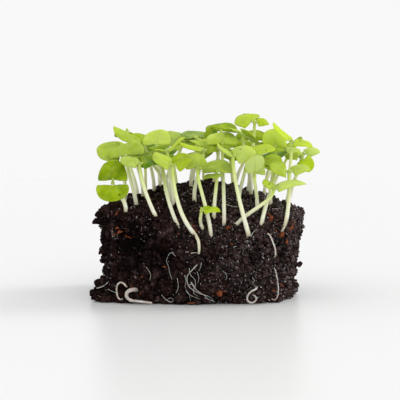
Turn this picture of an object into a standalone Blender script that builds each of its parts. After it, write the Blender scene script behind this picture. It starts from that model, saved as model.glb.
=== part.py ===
"""Basil microgreens growing in a square block of potting soil.

Some forty seedlings, each a pale stem with a pair of half-moon seed leaves, stand in
plain holes in a dark, crumbly block. A few white roots loop out of its front face.
The origin is the middle of the flat underside, +Z is up and the front faces -Y.
Every length below is in millimetres, and the finished meshes are scaled to metres once.
"""

import math
import random
from collections import namedtuple

import bmesh
import bpy
from mathutils import Matrix, Vector, noise
from mathutils.bvhtree import BVHTree

METRES = 0.001
GAP = 0.35

# Soil block: a tapered rounded square with a mounded, crumbled top
SOIL_TOP_HALF = Vector((38.6, 35.2))
SOIL_FOOT_HALF = Vector((35.6, 33.4))
SOIL_ROUNDING = 0.68
SOIL_SEGMENTS = 12
SHOULDER_HEIGHT = 33.0
SHOULDER_DROP = 2.6
MOUND = dict(height=9.6, centre=(-1.0, 6.0), reach=(29.0, 23.0))
DISH = dict(depth=11.0, middle=8.0, reach=17.0, start=-22.0, end=-33.0)
CORNER_DIP = dict(depth=3.6, centre=(30.0, -31.0), reach=6.5)
CORNER_RISE = dict(height=2.4, centre=(-36.0, -26.0), reach=7.5)
FOOT_SPREAD = dict(out=8.0, height=9.0, middle=-25.0, reach=10.0)
LUMP_SIZE, LUMP_RELIEF = 11.0, 1.7
CRUMB_SIZE, CRUMB_RELIEF = 5.0, 1.6
CHUNKS = [
    ((-37.5, -16.0, 29.5), 2.6, 3.0),
    ((-37.0, -14.0, 16.0), 2.0, 3.4),
    ((37.5, -18.0, 25.0), 1.6, 3.6),
    ((36.0, -12.0, 12.0), 1.8, 3.2),
    ((12.0, 34.0, 22.0), 2.0, 4.0),
]

# Seedlings
SEED = 41
STEM_FOOT_RADIUS = 0.74
STEM_NECK_RADIUS = 0.55
STEM_POINTS = 5
BURIED = 4.5
PETIOLE_START = 0.3
PETIOLE_RADIUS = 0.55
PETIOLE_OVERLAP = 1.6
CROWN_RADIUS = 0.88
CROWN_HEIGHT = 0.75
LEAF_THICKNESS = 0.6
LEAF_NEAR = 0.24
LEAF_NEAR_ROUNDING, LEAF_FAR_ROUNDING = 0.16, 0.46
LEAF_NOTCH = 0.07
LEAF_COLUMNS, LEAF_ROWS = 4, 2
LEAF_WAVE = 0.35
CLEARANCE = 0.66
TRIES = 90
GRID_PITCH = 11.2
FOOT_SPACING = 5.2

Leaf = namedtuple("Leaf", "azimuth pitch roll width length cup droop stalk taper")
Plant = namedtuple("Plant", "name foot lean head girth leaves tail")


def leaf(azimuth, pitch, roll=0.0, width=10.4, length=7.4, cup=-0.5, droop=0.6,
         stalk=1.0, taper=0.0):
    """Describe a seed leaf: where it points, its turn about its length, and its size."""
    return Leaf(azimuth, pitch, roll, width, length, cup, droop, stalk, taper)


def plant(name, foot, lean, head, first, second, girth=1.0, tail=()):
    """Describe a seedling by its foot on the soil, its lean there and where its pair sits."""
    return Plant(name, foot, lean, head, girth, (first, second), tail)


# The seedlings of the front, each set by hand. Azimuth 0 is to the right, -90 to the front.
FRONT_PLANTS = [
    plant("nodding", (-26.3, -29.4), (0.1, -0.1), (-30.7, -31.5, 42.7),
          leaf(-90, -66, 2, 11.6, 6.4, -0.3, 0.2, 0.6), leaf(92, 68, 0, 9.2, 8.2, -0.3, 0.4, 0.7, -0.2)),
    plant("left_wing", (-28.0, -13.0), (0.1, 0.0), (-28.8, -13.0, 53.6),
          leaf(185, 8, -46, 10.6, 8.8, -0.5, 0.6, 0.8), leaf(-10, -18, 10, 6.0, 4.4)),
    plant("left_point", (-21.5, -5.5), (0.0, 0.0), (-27.7, -5.0, 60.9),
          leaf(-96, -42, -33, 12.2, 6.0, -0.3, 0.2, 0.8), leaf(118, -14, 10, 7.2, 5.4)),
    plant("left_bright", (-15.8, -30.8), (-0.5, 0.1), (-21.3, -29.5, 49.2),
          leaf(180, 18, -22, 9.0, 6.4, -0.3, 0.4, 0.7), leaf(6, 20, 30, 8.2, 5.4, -0.3, 0.4, 0.7)),
    plant("front_reach", (-1.6, -32.4), (-0.95, 0.1), (-9.6, -30.0, 48.4),
          leaf(176, 36, -24, 9.8, 7.6, -0.5, 0.5, 0.7), leaf(6, 34, 34, 9.4, 6.6, -0.5, 0.5, 0.7),
          girth=1.12, tail=((-0.6, -35.3, 22.6), (-0.3, -35.8, 19.8), (-0.5, -33.0, 17.0))),
    plant("pale_flag", (-11.0, -15.0), (-0.1, 0.0), (-16.4, -13.0, 55.7),
          leaf(84, 46, 0, 10.4, 8.4, -0.2, 0.2, 0.7), leaf(-62, -8, 6, 8.6, 5.6, -0.3, 0.4, 0.7)),
    plant("left_peek", (-17.6, 0.5), (0.0, 0.0), (-20.6, 0.0, 57.3),
          leaf(168, 30, -30, 8.6, 5.8), leaf(-40, 0, 10, 7.0, 4.6)),
    plant("edge_on", (-9.6, -22.0), (-0.1, 0.0), (-11.7, -24.0, 53.8),
          leaf(-4, 42, 17, 6.6, 7.4, 0.2, 0.1, 0.7), leaf(150, 12, 0, 5.0, 4.6, -0.3, 0.4, 0.7)),
    plant("olive_left", (-13.5, 4.0), (0.1, 0.0), (-6.9, 2.0, 57.3),
          leaf(170, 28, -34, 10.4, 7.4), leaf(8, 20, 30, 9.6, 6.8)),
    plant("gold_wing", (-2.0, -19.0), (-0.1, 0.0), (1.4, -17.0, 54.2),
          leaf(176, 16, -16, 7.0, 8.6, 0.2, 0.2, 0.7), leaf(0, 6, 20, 5.6, 4.4)),
    plant("front_pair", (3.8, -29.8), (-0.1, 0.0), (-0.9, -30.0, 47.4),
          leaf(112, 52, -14, 8.2, 6.6, -0.4, 0.4, 0.7), leaf(-6, 26, 8, 5.8, 6.4, 0.2, 0.2, 0.7)),
    plant("green_fan", (5.0, -26.0), (0.0, 0.0), (6.1, -25.5, 45.8),
          leaf(88, 42, 0, 10.4, 7.4, -0.6, 0.5, 0.6), leaf(-130, -14, 0, 7.2, 5.2, -0.3, 0.4, 0.6)),
    plant("broad_fan", (8.6, -27.0), (0.0, 0.0), (8.2, -14.0, 56.1),
          leaf(92, 42, 2, 11.8, 7.6, -0.7, 0.5, 0.6), leaf(-60, -4, 0, 6.6, 5.0, -0.3, 0.4, 0.7)),
    plant("dark_roof", (5.5, 4.0), (0.1, 0.0), (8.1, 4.0, 61.3),
          leaf(86, 31, 0, 12.2, 8.0, -0.9, 0.6, 0.7), leaf(188, -30, -50, 9.6, 7.4, -0.4, 0.4, 0.7)),
    plant("front_tall", (17.0, -30.8), (-0.3, -0.1), (11.7, -28.5, 51.8),
          leaf(8, 20, 40, 8.6, 7.8, -0.5, 0.6, 0.6), leaf(184, 40, -12, 8.0, 7.0, 0.3, 0.2, 0.6),
          girth=1.15),
    plant("spoon", (20.6, -23.5), (0.0, 0.0), (19.3, -29.5, 45.4),
          leaf(-88, 64, 30, 9.4, 7.2, 0.5, 0.2, 0.9, 0.55), leaf(86, 46, 10, 8.0, 5.4, 0.2, 0.2, 0.9)),
    plant("level_arm", (14.0, -18.0), (0.1, 0.0), (17.3, -23.0, 53.4),
          leaf(2, 14, 25, 8.6, 9.3, -0.5, 0.7, 0.7), leaf(150, 10, -20, 6.0, 4.6)),
    plant("upright_right", (25.8, -16.0), (0.0, 0.0), (28.0, -10.0, 54.8),
          leaf(95, 62, 6, 9.4, 8.0, -0.4, 0.2, 0.8), leaf(-100, -6, 0, 7.4, 4.6)),
    plant("yellow_blade", (32.6, -15.0), (0.0, 0.0), (33.6, -16.0, 57.4),
          leaf(174, 45, -14, 8.2, 9.0, 0.3, 0.0, 0.7), leaf(-6, -8, 18, 8.2, 7.2, -0.4, 0.5, 0.7)),
    plant("crown", (18.6, 2.0), (0.1, 0.0), (20.8, -1.0, 65.2),
          leaf(141, 15, -32, 10.2, 7.8, -0.6, 0.3, 0.8), leaf(10, 0, 27, 7.0, 4.9, -0.4, 0.3, 0.8)),
    plant("sidling", (13.6, -27.6), (0.9, -0.1), (26.2, -31.0, 40.4),
          leaf(4, 24, 16, 7.4, 10.8, -0.5, 2.6, 0.7), leaf(160, 44, -20, 5.4, 4.3, -0.3, 0.3, 0.7)),
    plant("right_corner", (30.6, -28.0), (0.2, 0.0), (31.9, -24.5, 46.4),
          leaf(4, 16, 20, 8.8, 6.8), leaf(192, 22, -40, 8.4, 6.8)),
    plant("droop_right", (33.4, -6.0), (0.1, 0.0), (37.6, -10.0, 51.9),
          leaf(-14, -50, 50, 6.8, 5.4), leaf(170, 10, -26, 6.8, 5.2)),
    plant("right_back", (33.5, 3.0), (0.2, 0.0), (39.6, 2.0, 53.1),
          leaf(2, 16, 22, 8.4, 5.8), leaf(178, 20, -20, 8.4, 6.0)),
    plant("bent_right", (22.0, -28.6), (0.2, 0.3), (27.2, -20.0, 47.3),
          leaf(100, 56, 0, 7.6, 6.2, -0.4, 0.4, 0.7), leaf(180, 22, -12, 6.6, 5.4, 0.1, 0.2, 0.7)),
    plant("late_riser", (0.7, -29.0), (-0.45, 0.0), (0.6, -33.8, 33.1),
          leaf(-6, 6, 24, 4.6, 5.6, -0.2, 0.6, 1.0), leaf(30, 30, 0, 3.2, 2.6, -0.1, 0.2, 0.8),
          girth=0.9),
    plant("shaded_left", (-16.0, 10.0), (0.1, 0.0), (-17.0, 12.0, 53.5),
          leaf(150, 14, -10), leaf(-36, 4, 10)),
    plant("left_stay", (-23.0, -22.0), (-0.1, 0.0), (-26.8, -20.5, 51.6),
          leaf(86, 45, -10, 13.2, 7.4, -0.4, 0.3, 0.7), leaf(4, 3, 6, 7.0, 7.6, -0.3, 0.4, 0.8)),
    plant("middle_stay", (-8.4, -31.0), (-0.42, 0.2), (-14.0, -20.5, 49.6),
          leaf(200, 8, -10, 6.4, 4.6), leaf(24, 30, 25, 8.0, 6.6)),
    plant("deep_green", (14.0, 9.0), (0.0, 0.0), (20.4, 9.0, 57.8),
          leaf(90, 34, 0, 12.6, 8.2), leaf(-158, -2, -20, 9.0, 7.4)),
]

# The rest of the bed, grown by a rule
BED_HALF = (31.0, 29.0)
BED_FRONT = -20.0
HEAD_HEIGHT = 52.6
HEAD_RISE = dict(height=4.5, middle=8.0, reach=30.0)
HEAD_SPREAD = 3.0
HEAD_DRIFT = 3.5
HEAD_FAN = 1.1
BED_TILT = {0: 16.0, 180: -24.0}

# Roots that loop out of the front face: points as (x, distance out of the face, height)
ROOTS = {
    "root_loop": (0.48, 0.40, [
        (-26.0, -3.4, 5.2), (-26.2, 0.2, 6.2), (-27.0, 0.9, 7.2), (-28.2, 1.1, 7.5),
        (-29.2, 1.2, 6.6), (-29.5, 1.2, 5.0), (-29.4, 1.2, 3.6), (-29.0, 1.2, 2.2),
        (-28.2, 0.9, 1.4), (-27.4, -2.2, 1.5)]),
    "root_curl_left": (0.80, 0.34, [
        (-22.4, -2.8, 4.6), (-24.0, 0.9, 5.0), (-25.3, 1.6, 4.5), (-25.9, 1.9, 3.4),
        (-25.5, 2.1, 2.2), (-24.2, 2.2, 1.4), (-22.2, 2.1, 1.2), (-19.4, 1.9, 0.9),
        (-16.8, 1.7, 0.6)]),
    "root_curl_right": (0.42, 0.34, [
        (20.6, -2.8, 6.2), (19.6, 0.9, 5.4), (18.0, 1.5, 4.7), (16.8, 1.7, 3.3),
        (16.6, 1.8, 1.8), (17.6, 1.8, 0.8), (19.0, 1.7, 0.9), (19.8, 1.5, 2.0),
        (19.2, 1.0, 3.0), (18.2, -2.0, 3.1)]),
    "root_strand": (0.44, 0.34, [
        (23.6, -3.0, 25.0), (24.6, 0.3, 24.2), (25.7, 0.9, 21.6), (26.5, 1.0, 19.2),
        (26.6, 0.3, 17.2), (26.4, -2.6, 16.2)]),
    "root_thread": (0.40, 0.30, [
        (26.4, -2.8, 12.4), (26.8, 0.4, 11.2), (27.4, 0.8, 8.0), (27.7, 0.9, 5.0),
        (27.4, 0.8, 2.4), (26.4, 0.2, 1.2), (25.6, -2.2, 1.3)]),
}


def clear_scene():
    for old in list(bpy.data.objects):
        bpy.data.objects.remove(old, do_unlink=True)


def new_collection(name):
    collection = bpy.data.collections.new(name)
    bpy.context.scene.collection.children.link(collection)
    return collection


def make_material(name, colour, roughness):
    material = bpy.data.materials.new(name)
    material.use_nodes = True
    shader = material.node_tree.nodes["Principled BSDF"]
    shader.inputs["Base Color"].default_value = (*colour, 1.0)
    shader.inputs["Roughness"].default_value = roughness
    shader.inputs["Metallic"].default_value = 0.0
    return material


def add_object(name, mesh, collection, material=None):
    obj = bpy.data.objects.new(name, mesh)
    collection.objects.link(obj)
    if material:
        mesh.materials.clear()
        mesh.materials.append(material)
    return obj


def mesh_from(bm, name):
    mesh = bpy.data.meshes.new(name)
    bm.to_mesh(mesh)
    bm.free()
    return mesh


def apply_modifiers(obj):
    """Put an object's evaluated mesh in place of its own and drop its modifiers."""
    depsgraph = bpy.context.evaluated_depsgraph_get()
    mesh = bpy.data.meshes.new_from_object(obj.evaluated_get(depsgraph))
    obj.modifiers.clear()
    obj.data = mesh


def smoothstep(value):
    value = min(1.0, max(0.0, value))
    return value * value * (3.0 - 2.0 * value)


def bell(offset, reach):
    return math.exp(-((offset / reach) ** 2))


def soil_height(x, y):
    """Height of the soil's top over a point of the plan, before its crumbs."""
    mound = MOUND["height"]
    mound *= bell(x - MOUND["centre"][0], MOUND["reach"][0])
    mound *= bell(y - MOUND["centre"][1], MOUND["reach"][1])
    forward = smoothstep((y - DISH["start"]) / (DISH["end"] - DISH["start"]))
    dish = DISH["depth"] * bell(x - DISH["middle"], DISH["reach"]) * forward
    away = math.hypot(x - CORNER_DIP["centre"][0], y - CORNER_DIP["centre"][1])
    dip = CORNER_DIP["depth"] * bell(away, CORNER_DIP["reach"])
    away = math.hypot(x - CORNER_RISE["centre"][0], y - CORNER_RISE["centre"][1])
    dip -= CORNER_RISE["height"] * bell(away, CORNER_RISE["reach"])
    rim = max(abs(x) / SOIL_TOP_HALF.x, abs(y) / SOIL_TOP_HALF.y)
    return SHOULDER_HEIGHT + mound - dish - dip - SHOULDER_DROP * min(1.0, rim) ** 8


def soil_point(u, v, w):
    """Place one point of a unit cube's surface on the soil block."""
    level = (w + 1.0) / 2.0
    half = SOIL_FOOT_HALF.lerp(SOIL_TOP_HALF, level)
    x = half.x * u * math.sqrt(1.0 - SOIL_ROUNDING * v * v / 2.0)
    y = half.y * v * math.sqrt(1.0 - SOIL_ROUNDING * u * u / 2.0)
    z = level * soil_height(x, y)
    near_foot = max(0.0, 1.0 - (z / FOOT_SPREAD["height"]) ** 2)
    spread = FOOT_SPREAD["out"] * near_foot * bell(y - FOOT_SPREAD["middle"], FOOT_SPREAD["reach"])
    return Vector((x - spread * max(0.0, -u) ** 6, y, z))


def crumble(point, outward):
    """Push a point of the soil's surface out or in by its lumps, crumbs and chunks."""
    relief = LUMP_RELIEF * noise.noise(point / LUMP_SIZE)
    relief += CRUMB_RELIEF * noise.noise(point / CRUMB_SIZE + Vector((7.0, 3.0, 5.0)))
    for centre, reach, out in CHUNKS:
        relief += out * bell((point - Vector(centre)).length, reach)
    return point + outward * relief


def make_soil(collection, material):
    """The block: a divided cube laid on the soil's form, with one flat face underneath."""
    bm = bmesh.new()
    bmesh.ops.create_cube(bm, size=2.0)
    bmesh.ops.subdivide_edges(
        bm, edges=bm.edges[:], cuts=SOIL_SEGMENTS - 1, use_grid_fill=True)
    for vert in bm.verts:
        u, v, w = vert.co
        point = soil_point(u, v, w)
        side = max(abs(u), abs(v)) > 0.999
        outward = Vector((u, v, 0.0)) if side else Vector()
        if w > 0.999:
            outward.z = 1.0
        if w < -0.999:
            outward *= 0.5
        if outward.length:
            outward.normalize()
        vert.co = crumble(point, outward)
        if w < -0.999:
            vert.co.z = 0.0
    under = [face for face in bm.faces if all(vert.co.z < 1e-6 for vert in face.verts)]
    bmesh.ops.dissolve_faces(bm, faces=under, use_verts=True)
    bmesh.ops.recalc_face_normals(bm, faces=bm.faces[:])
    return add_object("soil_block", mesh_from(bm, "soil_block"), collection, material)


def hermite(start, start_pull, end, end_pull, t):
    s = t * t
    c = s * t
    return (start * (2 * c - 3 * s + 1) + start_pull * (c - 2 * s + t)
            + end * (3 * s - 2 * c) + end_pull * (c - s))


def stem_route(spec):
    """The stem's line from its buried end, out of its foot and up to its pair of leaves."""
    foot = Vector((*spec.foot, soil_height(*spec.foot)))
    head = Vector(spec.head)
    lean = Vector((*spec.lean, 1.0)).normalized()
    rise = (head - foot).length
    pull = lean * rise * 1.1
    top = Vector((0.0, 0.0, rise * 0.7))
    above = [hermite(foot, pull, head, top, step / (STEM_POINTS - 1))
             for step in range(STEM_POINTS)]
    above.append(head + Vector((0.0, 0.0, CROWN_HEIGHT)))
    if spec.tail:
        return [Vector(point) for point in reversed(spec.tail)] + above
    inward = Vector((-foot.x, -foot.y, 0.0)).normalized() * BURIED * 0.35
    return [foot - lean * BURIED + inward] + above


def leaf_axes(spec):
    """The directions along a leaf, across it, and out of its upper face."""
    azimuth, pitch, roll = (math.radians(spec[i]) for i in range(3))
    along = Vector((math.cos(pitch) * math.cos(azimuth),
                    math.cos(pitch) * math.sin(azimuth), math.sin(pitch)))
    side = Vector((-math.sin(azimuth), math.cos(azimuth), 0.0))
    face = along.cross(side)
    across = side * math.cos(roll) + face * math.sin(roll)
    return along, across, along.cross(across)


def leaf_point(spec, head, u, v):
    """Place one point of a unit square on a seed leaf, a half-moon with a notched base."""
    along, across, face = leaf_axes(spec)
    rounding = LEAF_FAR_ROUNDING if v > 0 else LEAF_NEAR_ROUNDING
    x = u * math.sqrt(1.0 - rounding * v * v)
    y = v * math.sqrt(1.0 - rounding * u * u)
    reach = y * (1.0 - LEAF_NEAR) if y > 0 else y * LEAF_NEAR
    notch = LEAF_NOTCH * max(0.0, 1.0 - 2.0 * abs(u)) * max(0.0, -v)
    down = LEAF_NEAR + reach + notch
    rim = x * x + y * y
    lift = spec.cup * (rim - 1.0) - spec.droop * down * down
    wave = math.sin(3.0 * math.atan2(y, x) + math.radians(spec.azimuth))
    lift += LEAF_WAVE * wave * rim * (1.0 + y) / 2.0
    half = spec.width / 2.0 * (1.0 - spec.taper * (1.0 - down) ** 2)
    return (Vector(head) + along * (spec.stalk + down * spec.length)
            + across * (x * half) + face * lift)


def tube(name, points, radii, collection, resolution=1):
    """A closed tube through the points: a bevelled curve, made a mesh with welded caps."""
    curve = bpy.data.curves.new(name, "CURVE")
    curve.dimensions = "3D"
    curve.bevel_depth = 1.0
    curve.bevel_resolution = resolution
    curve.use_fill_caps = True
    spline = curve.splines.new("POLY")
    spline.points.add(len(points) - 1)
    for bead, point, radius in zip(spline.points, points, radii):
        bead.co = (*point, 1.0)
        bead.radius = radius
    guide = bpy.data.objects.new(name + "_curve", curve)
    collection.objects.link(guide)
    depsgraph = bpy.context.evaluated_depsgraph_get()
    mesh = bpy.data.meshes.new_from_object(guide.evaluated_get(depsgraph))
    bpy.data.objects.remove(guide, do_unlink=True)
    bm = bmesh.new()
    bm.from_mesh(mesh)
    bmesh.ops.remove_doubles(bm, verts=bm.verts[:], dist=0.0001)
    bmesh.ops.recalc_face_normals(bm, faces=bm.faces[:])
    bm.to_mesh(mesh)
    bm.free()
    return add_object(name, mesh, collection)


def buried_points(spec):
    return len(spec.tail) or 1


def stem_radii(spec):
    """Thick at the foot, thin at the neck, swollen where the pair of stalks starts."""
    foot, neck = STEM_FOOT_RADIUS * spec.girth, STEM_NECK_RADIUS * min(1.0, spec.girth)
    above = [foot + (neck - foot) * step / (STEM_POINTS - 1) for step in range(STEM_POINTS)]
    above[-1:] = [CROWN_RADIUS, CROWN_RADIUS * 0.6]
    below = buried_points(spec)
    if spec.tail:
        return [foot * (0.55 + 0.4 * step / below) for step in range(below)] + above
    return [foot] * below + above


def make_blade(name, spec, head, collection):
    bm = bmesh.new()
    bmesh.ops.create_grid(bm, x_segments=LEAF_COLUMNS, y_segments=LEAF_ROWS, size=1.0)
    for vert in bm.verts:
        vert.co = leaf_point(spec, head, vert.co.x, vert.co.y)
    bmesh.ops.triangulate(bm, faces=bm.faces[:])
    blade = add_object(name, mesh_from(bm, name), collection)
    wall = blade.modifiers.new("thickness", "SOLIDIFY")
    wall.thickness = LEAF_THICKNESS
    wall.offset = 0.0
    return blade


def make_petiole(name, spec, head, collection):
    """A three-sided leaf stalk: its flat top lies in the blade, its ridge is the rib below."""
    along, across, face = leaf_axes(spec)
    length = spec.stalk + PETIOLE_OVERLAP - PETIOLE_START
    bm = bmesh.new()
    bmesh.ops.create_cone(
        bm, cap_ends=True, segments=3, radius1=PETIOLE_RADIUS,
        radius2=PETIOLE_RADIUS * 0.9, depth=length)
    turn = Matrix((-across, -face, along)).transposed().to_4x4()
    middle = Vector(head) + along * (PETIOLE_START + length / 2.0)
    bmesh.ops.transform(bm, matrix=Matrix.Translation(middle) @ turn, verts=bm.verts[:])
    return add_object(name, mesh_from(bm, name), collection)


def make_seedling(spec, collection, workbench, material):
    """One seedling: its stem, joined with two petioles and two blades."""
    route = stem_route(spec)
    stem = tube(spec.name, route, stem_radii(spec), collection)
    for number, blade in enumerate(spec.leaves):
        make_petiole(f"{spec.name}_petiole_{number}", blade, spec.head, workbench)
        make_blade(f"{spec.name}_blade_{number}", blade, spec.head, workbench)
    union = stem.modifiers.new("join", "BOOLEAN")
    union.operation = "UNION"
    union.operand_type = "COLLECTION"
    union.collection = workbench
    union.solver = "EXACT"
    apply_modifiers(stem)
    for helper in list(workbench.objects):
        bpy.data.objects.remove(helper, do_unlink=True)
    stem.data.materials.clear()
    stem.data.materials.append(material)
    return stem


def surface_tree(obj):
    return BVHTree.FromPolygons([vert.co for vert in obj.data.vertices],
                                [face.vertices for face in obj.data.polygons])


def samples(spec):
    """Points all over a seedling, each with the distance it has to keep from another."""
    route = stem_route(spec)[buried_points(spec):]
    for low, high in zip(route, route[1:]):
        for step in range(5):
            yield low.lerp(high, step / 5.0), CLEARANCE + STEM_NECK_RADIUS - 0.2
    for blade in spec.leaves:
        for row in range(9):
            for column in range(11):
                point = leaf_point(blade, spec.head, column / 5.0 - 1.0, row / 4.0 - 1.0)
                yield point, CLEARANCE


def is_clear(spec, grown):
    """Whether a seedling clears the soil and every seedling already grown."""
    points = list(samples(spec))
    for point, _ in points[5 * STEM_POINTS:]:
        inside = abs(point.x) < SOIL_TOP_HALF.x + 1.0 and abs(point.y) < SOIL_TOP_HALF.y + 1.0
        if inside and point.z < soil_height(point.x, point.y) + 1.6:
            return False
    for tree, low, high in grown:
        for point, reach in points:
            near = all(low[i] - reach < point[i] < high[i] + reach for i in range(3))
            if near and tree.find_nearest(point, reach)[0] is not None:
                return False
    return True


def nudged(spec, index, attempt):
    """The seedling as set, or from the second try on, turned and shifted a little more."""
    if attempt == 0:
        return spec
    draw = random.Random(SEED * 10000 + index * 100 + attempt)
    give = min(1.6, attempt / 40.0)
    head = tuple(spec.head[i] + draw.uniform(-1, 1) * give * (2.4, 3.6, 3.0)[i]
                 for i in range(3))
    turn = draw.uniform(-1, 1) * 34.0 * give
    leaves = tuple(
        blade._replace(azimuth=blade.azimuth + turn + draw.uniform(-1, 1) * 8.0 * give,
                       pitch=blade.pitch + draw.uniform(-1, 1) * 22.0 * give,
                       roll=blade.roll + draw.uniform(-1, 1) * 24.0 * give,
                       width=blade.width * (1.0 - 0.12 * give * draw.random()),
                       length=blade.length * (1.0 - 0.12 * give * draw.random()))
        for blade in spec.leaves)
    return spec._replace(head=head, leaves=leaves)


def bed_plants():
    """The rest of the bed: one seedling in each free cell of a jittered grid."""
    draw = random.Random(SEED)
    feet = [spec.foot for spec in FRONT_PLANTS]
    plants = []
    rows = int((BED_HALF[1] - BED_FRONT) / GRID_PITCH) + 1
    columns = int(2 * BED_HALF[0] / GRID_PITCH) + 1
    for row in range(rows):
        for column in range(columns):
            x = -BED_HALF[0] + (column + 0.5 * (row % 2)) * GRID_PITCH + draw.uniform(-2.2, 2.2)
            y = BED_HALF[1] - row * GRID_PITCH + draw.uniform(-2.2, 2.2)
            turn = draw.uniform(35, 145)
            lean = (draw.uniform(-0.3, 0.3), draw.uniform(-0.3, 0.3))
            drift = (draw.uniform(-1, 1) * HEAD_DRIFT, draw.uniform(-1, 1) * HEAD_DRIFT)
            lift = draw.uniform(-1, 1) * HEAD_SPREAD
            pair = tuple(
                leaf(turn + flip + draw.uniform(-12, 12), draw.uniform(2, 30) + BED_TILT[flip],
                     draw.uniform(-24, 24), draw.uniform(9.6, 12.0), draw.uniform(6.8, 8.6),
                     draw.uniform(-1.0, 0.2), draw.uniform(0.2, 1.4))
                for flip in (0, 180))
            if abs(x) > BED_HALF[0] or any(
                    math.hypot(x - foot[0], y - foot[1]) < FOOT_SPACING for foot in feet):
                continue
            rise = HEAD_RISE["height"] * bell(x - HEAD_RISE["middle"], HEAD_RISE["reach"])
            head = (x * HEAD_FAN + drift[0], y * HEAD_FAN + drift[1], HEAD_HEIGHT + rise + lift)
            feet.append((x, y))
            plants.append(plant(f"bed_{len(plants) + 1:02d}", (x, y), lean, head, *pair))
    return plants


def grow_bed(collection, workbench, material):
    """Grow the seedlings one by one, each turned until it clears the ones before it."""
    grown, plants = [], []
    for index, spec in enumerate(FRONT_PLANTS + bed_plants()):
        for attempt in range(TRIES):
            candidate = nudged(spec, index, attempt)
            if is_clear(candidate, grown):
                break
        else:
            continue
        number = len(plants) + 1
        candidate = candidate._replace(name=f"seedling_{number:02d}")
        obj = make_seedling(candidate, collection, workbench, material)
        low = [min(vert.co[i] for vert in obj.data.vertices) for i in range(3)]
        high = [max(vert.co[i] for vert in obj.data.vertices) for i in range(3)]
        grown.append((surface_tree(obj), low, high))
        plants.append(candidate)
    return plants


def face_y(x, z):
    """How far forward the block's front face is at a height, before its crumbs."""
    half = SOIL_FOOT_HALF.lerp(SOIL_TOP_HALF, z / SHOULDER_HEIGHT)
    return -half.y * math.sqrt(1.0 - SOIL_ROUNDING * (x / half.x) ** 2 / 2.0)


def root_points(points):
    return [Vector((x, face_y(x, z) - out, z)) for x, out, z in points]


def even_radii(start, end, count):
    return [start + (end - start) * step / (count - 1) for step in range(count)]


def make_roots(collection, material):
    for name, (thick, thin, points) in ROOTS.items():
        route = root_points(points)
        root = tube(name, route, even_radii(thick, thin, len(route)), collection)
        root.data.materials.append(material)


def lengthened(route, extra):
    """A route with both ends carried on by a little, for the hole around it."""
    first = route[0] + (route[0] - route[1]).normalized() * extra
    last = route[-1] + (route[-1] - route[-2]).normalized() * extra
    return [first] + route[1:-1] + [last]


def make_holes(soil, plants, cutters):
    """Cut a plain hole for each stem's foot and a bed for each root, then tidy the soil."""
    for spec in plants:
        last = buried_points(spec) + 3
        path = lengthened(stem_route(spec)[:last], GAP)
        radii = [radius + GAP for radius in stem_radii(spec)[:last]]
        tube("hole_" + spec.name, path, radii, cutters)
    for name, (thick, thin, points) in ROOTS.items():
        path = lengthened(root_points(points), GAP)
        radii = [radius + GAP for radius in even_radii(thick, thin, len(path))]
        tube("hole_" + name, path, radii, cutters)
    cut = soil.modifiers.new("holes", "BOOLEAN")
    cut.operation = "DIFFERENCE"
    cut.operand_type = "COLLECTION"
    cut.collection = cutters
    cut.solver = "EXACT"
    apply_modifiers(soil)
    for cutter in list(cutters.objects):
        bpy.data.objects.remove(cutter, do_unlink=True)
    keep_largest(soil)


def keep_largest(obj):
    """Drop the loose scraps that a cut leaves, and keep the one large body."""
    bm = bmesh.new()
    bm.from_mesh(obj.data)
    unseen = set(bm.verts)
    bodies = []
    while unseen:
        stack = [unseen.pop()]
        body = list(stack)
        while stack:
            vert = stack.pop()
            for edge in vert.link_edges:
                other = edge.other_vert(vert)
                if other in unseen:
                    unseen.remove(other)
                    stack.append(other)
                    body.append(other)
        bodies.append(body)
    bodies.sort(key=len)
    for body in bodies[:-1]:
        bmesh.ops.delete(bm, geom=body, context="VERTS")
    bm.to_mesh(obj.data)
    bm.free()


def main():
    clear_scene()
    block = new_collection("basil_microgreens")
    workbench = new_collection("joining")
    cutters = new_collection("cutters")
    soil_dark = make_material("potting_soil", (0.016, 0.011, 0.010), 0.9)
    green = make_material("seedling_green", (0.36, 0.56, 0.08), 0.45)
    white = make_material("root_white", (0.76, 0.70, 0.64), 0.55)
    soil = make_soil(block, soil_dark)
    plants = grow_bed(block, workbench, green)
    make_roots(block, white)
    make_holes(soil, plants, cutters)
    for obj in block.objects:
        obj.data.transform(Matrix.Scale(METRES, 4))
        obj.data.shade_smooth()
        obj.data.set_sharp_from_angle(angle=math.radians(50.0))


main()
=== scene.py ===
"""Basil microgreens in a block of potting soil: the fine plants, the crumbly soil, the roots.

Lengths are in millimetres until a piece is finished, and then its mesh is scaled to metres.
+Z is up, the front of the block faces -Y, and the origin is the middle of the underside.
"""

import math
import random
from collections import namedtuple

import bmesh
import bpy
from mathutils import Matrix, Vector, kdtree, noise
from mathutils.bvhtree import BVHTree


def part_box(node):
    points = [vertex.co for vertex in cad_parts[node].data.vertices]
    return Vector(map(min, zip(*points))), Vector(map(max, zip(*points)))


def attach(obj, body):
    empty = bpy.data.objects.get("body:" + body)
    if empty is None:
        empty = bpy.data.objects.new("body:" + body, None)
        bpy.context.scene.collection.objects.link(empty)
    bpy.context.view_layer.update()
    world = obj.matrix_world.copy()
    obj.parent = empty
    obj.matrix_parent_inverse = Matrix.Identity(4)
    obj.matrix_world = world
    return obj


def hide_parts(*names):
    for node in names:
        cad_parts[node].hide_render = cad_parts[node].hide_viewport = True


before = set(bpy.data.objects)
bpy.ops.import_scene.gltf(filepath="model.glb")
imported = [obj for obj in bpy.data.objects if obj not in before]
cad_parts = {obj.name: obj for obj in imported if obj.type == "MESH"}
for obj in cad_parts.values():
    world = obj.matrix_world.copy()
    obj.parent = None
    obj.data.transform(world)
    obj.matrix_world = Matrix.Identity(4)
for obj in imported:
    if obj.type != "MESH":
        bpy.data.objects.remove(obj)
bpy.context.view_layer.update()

METRES = 0.001
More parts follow.
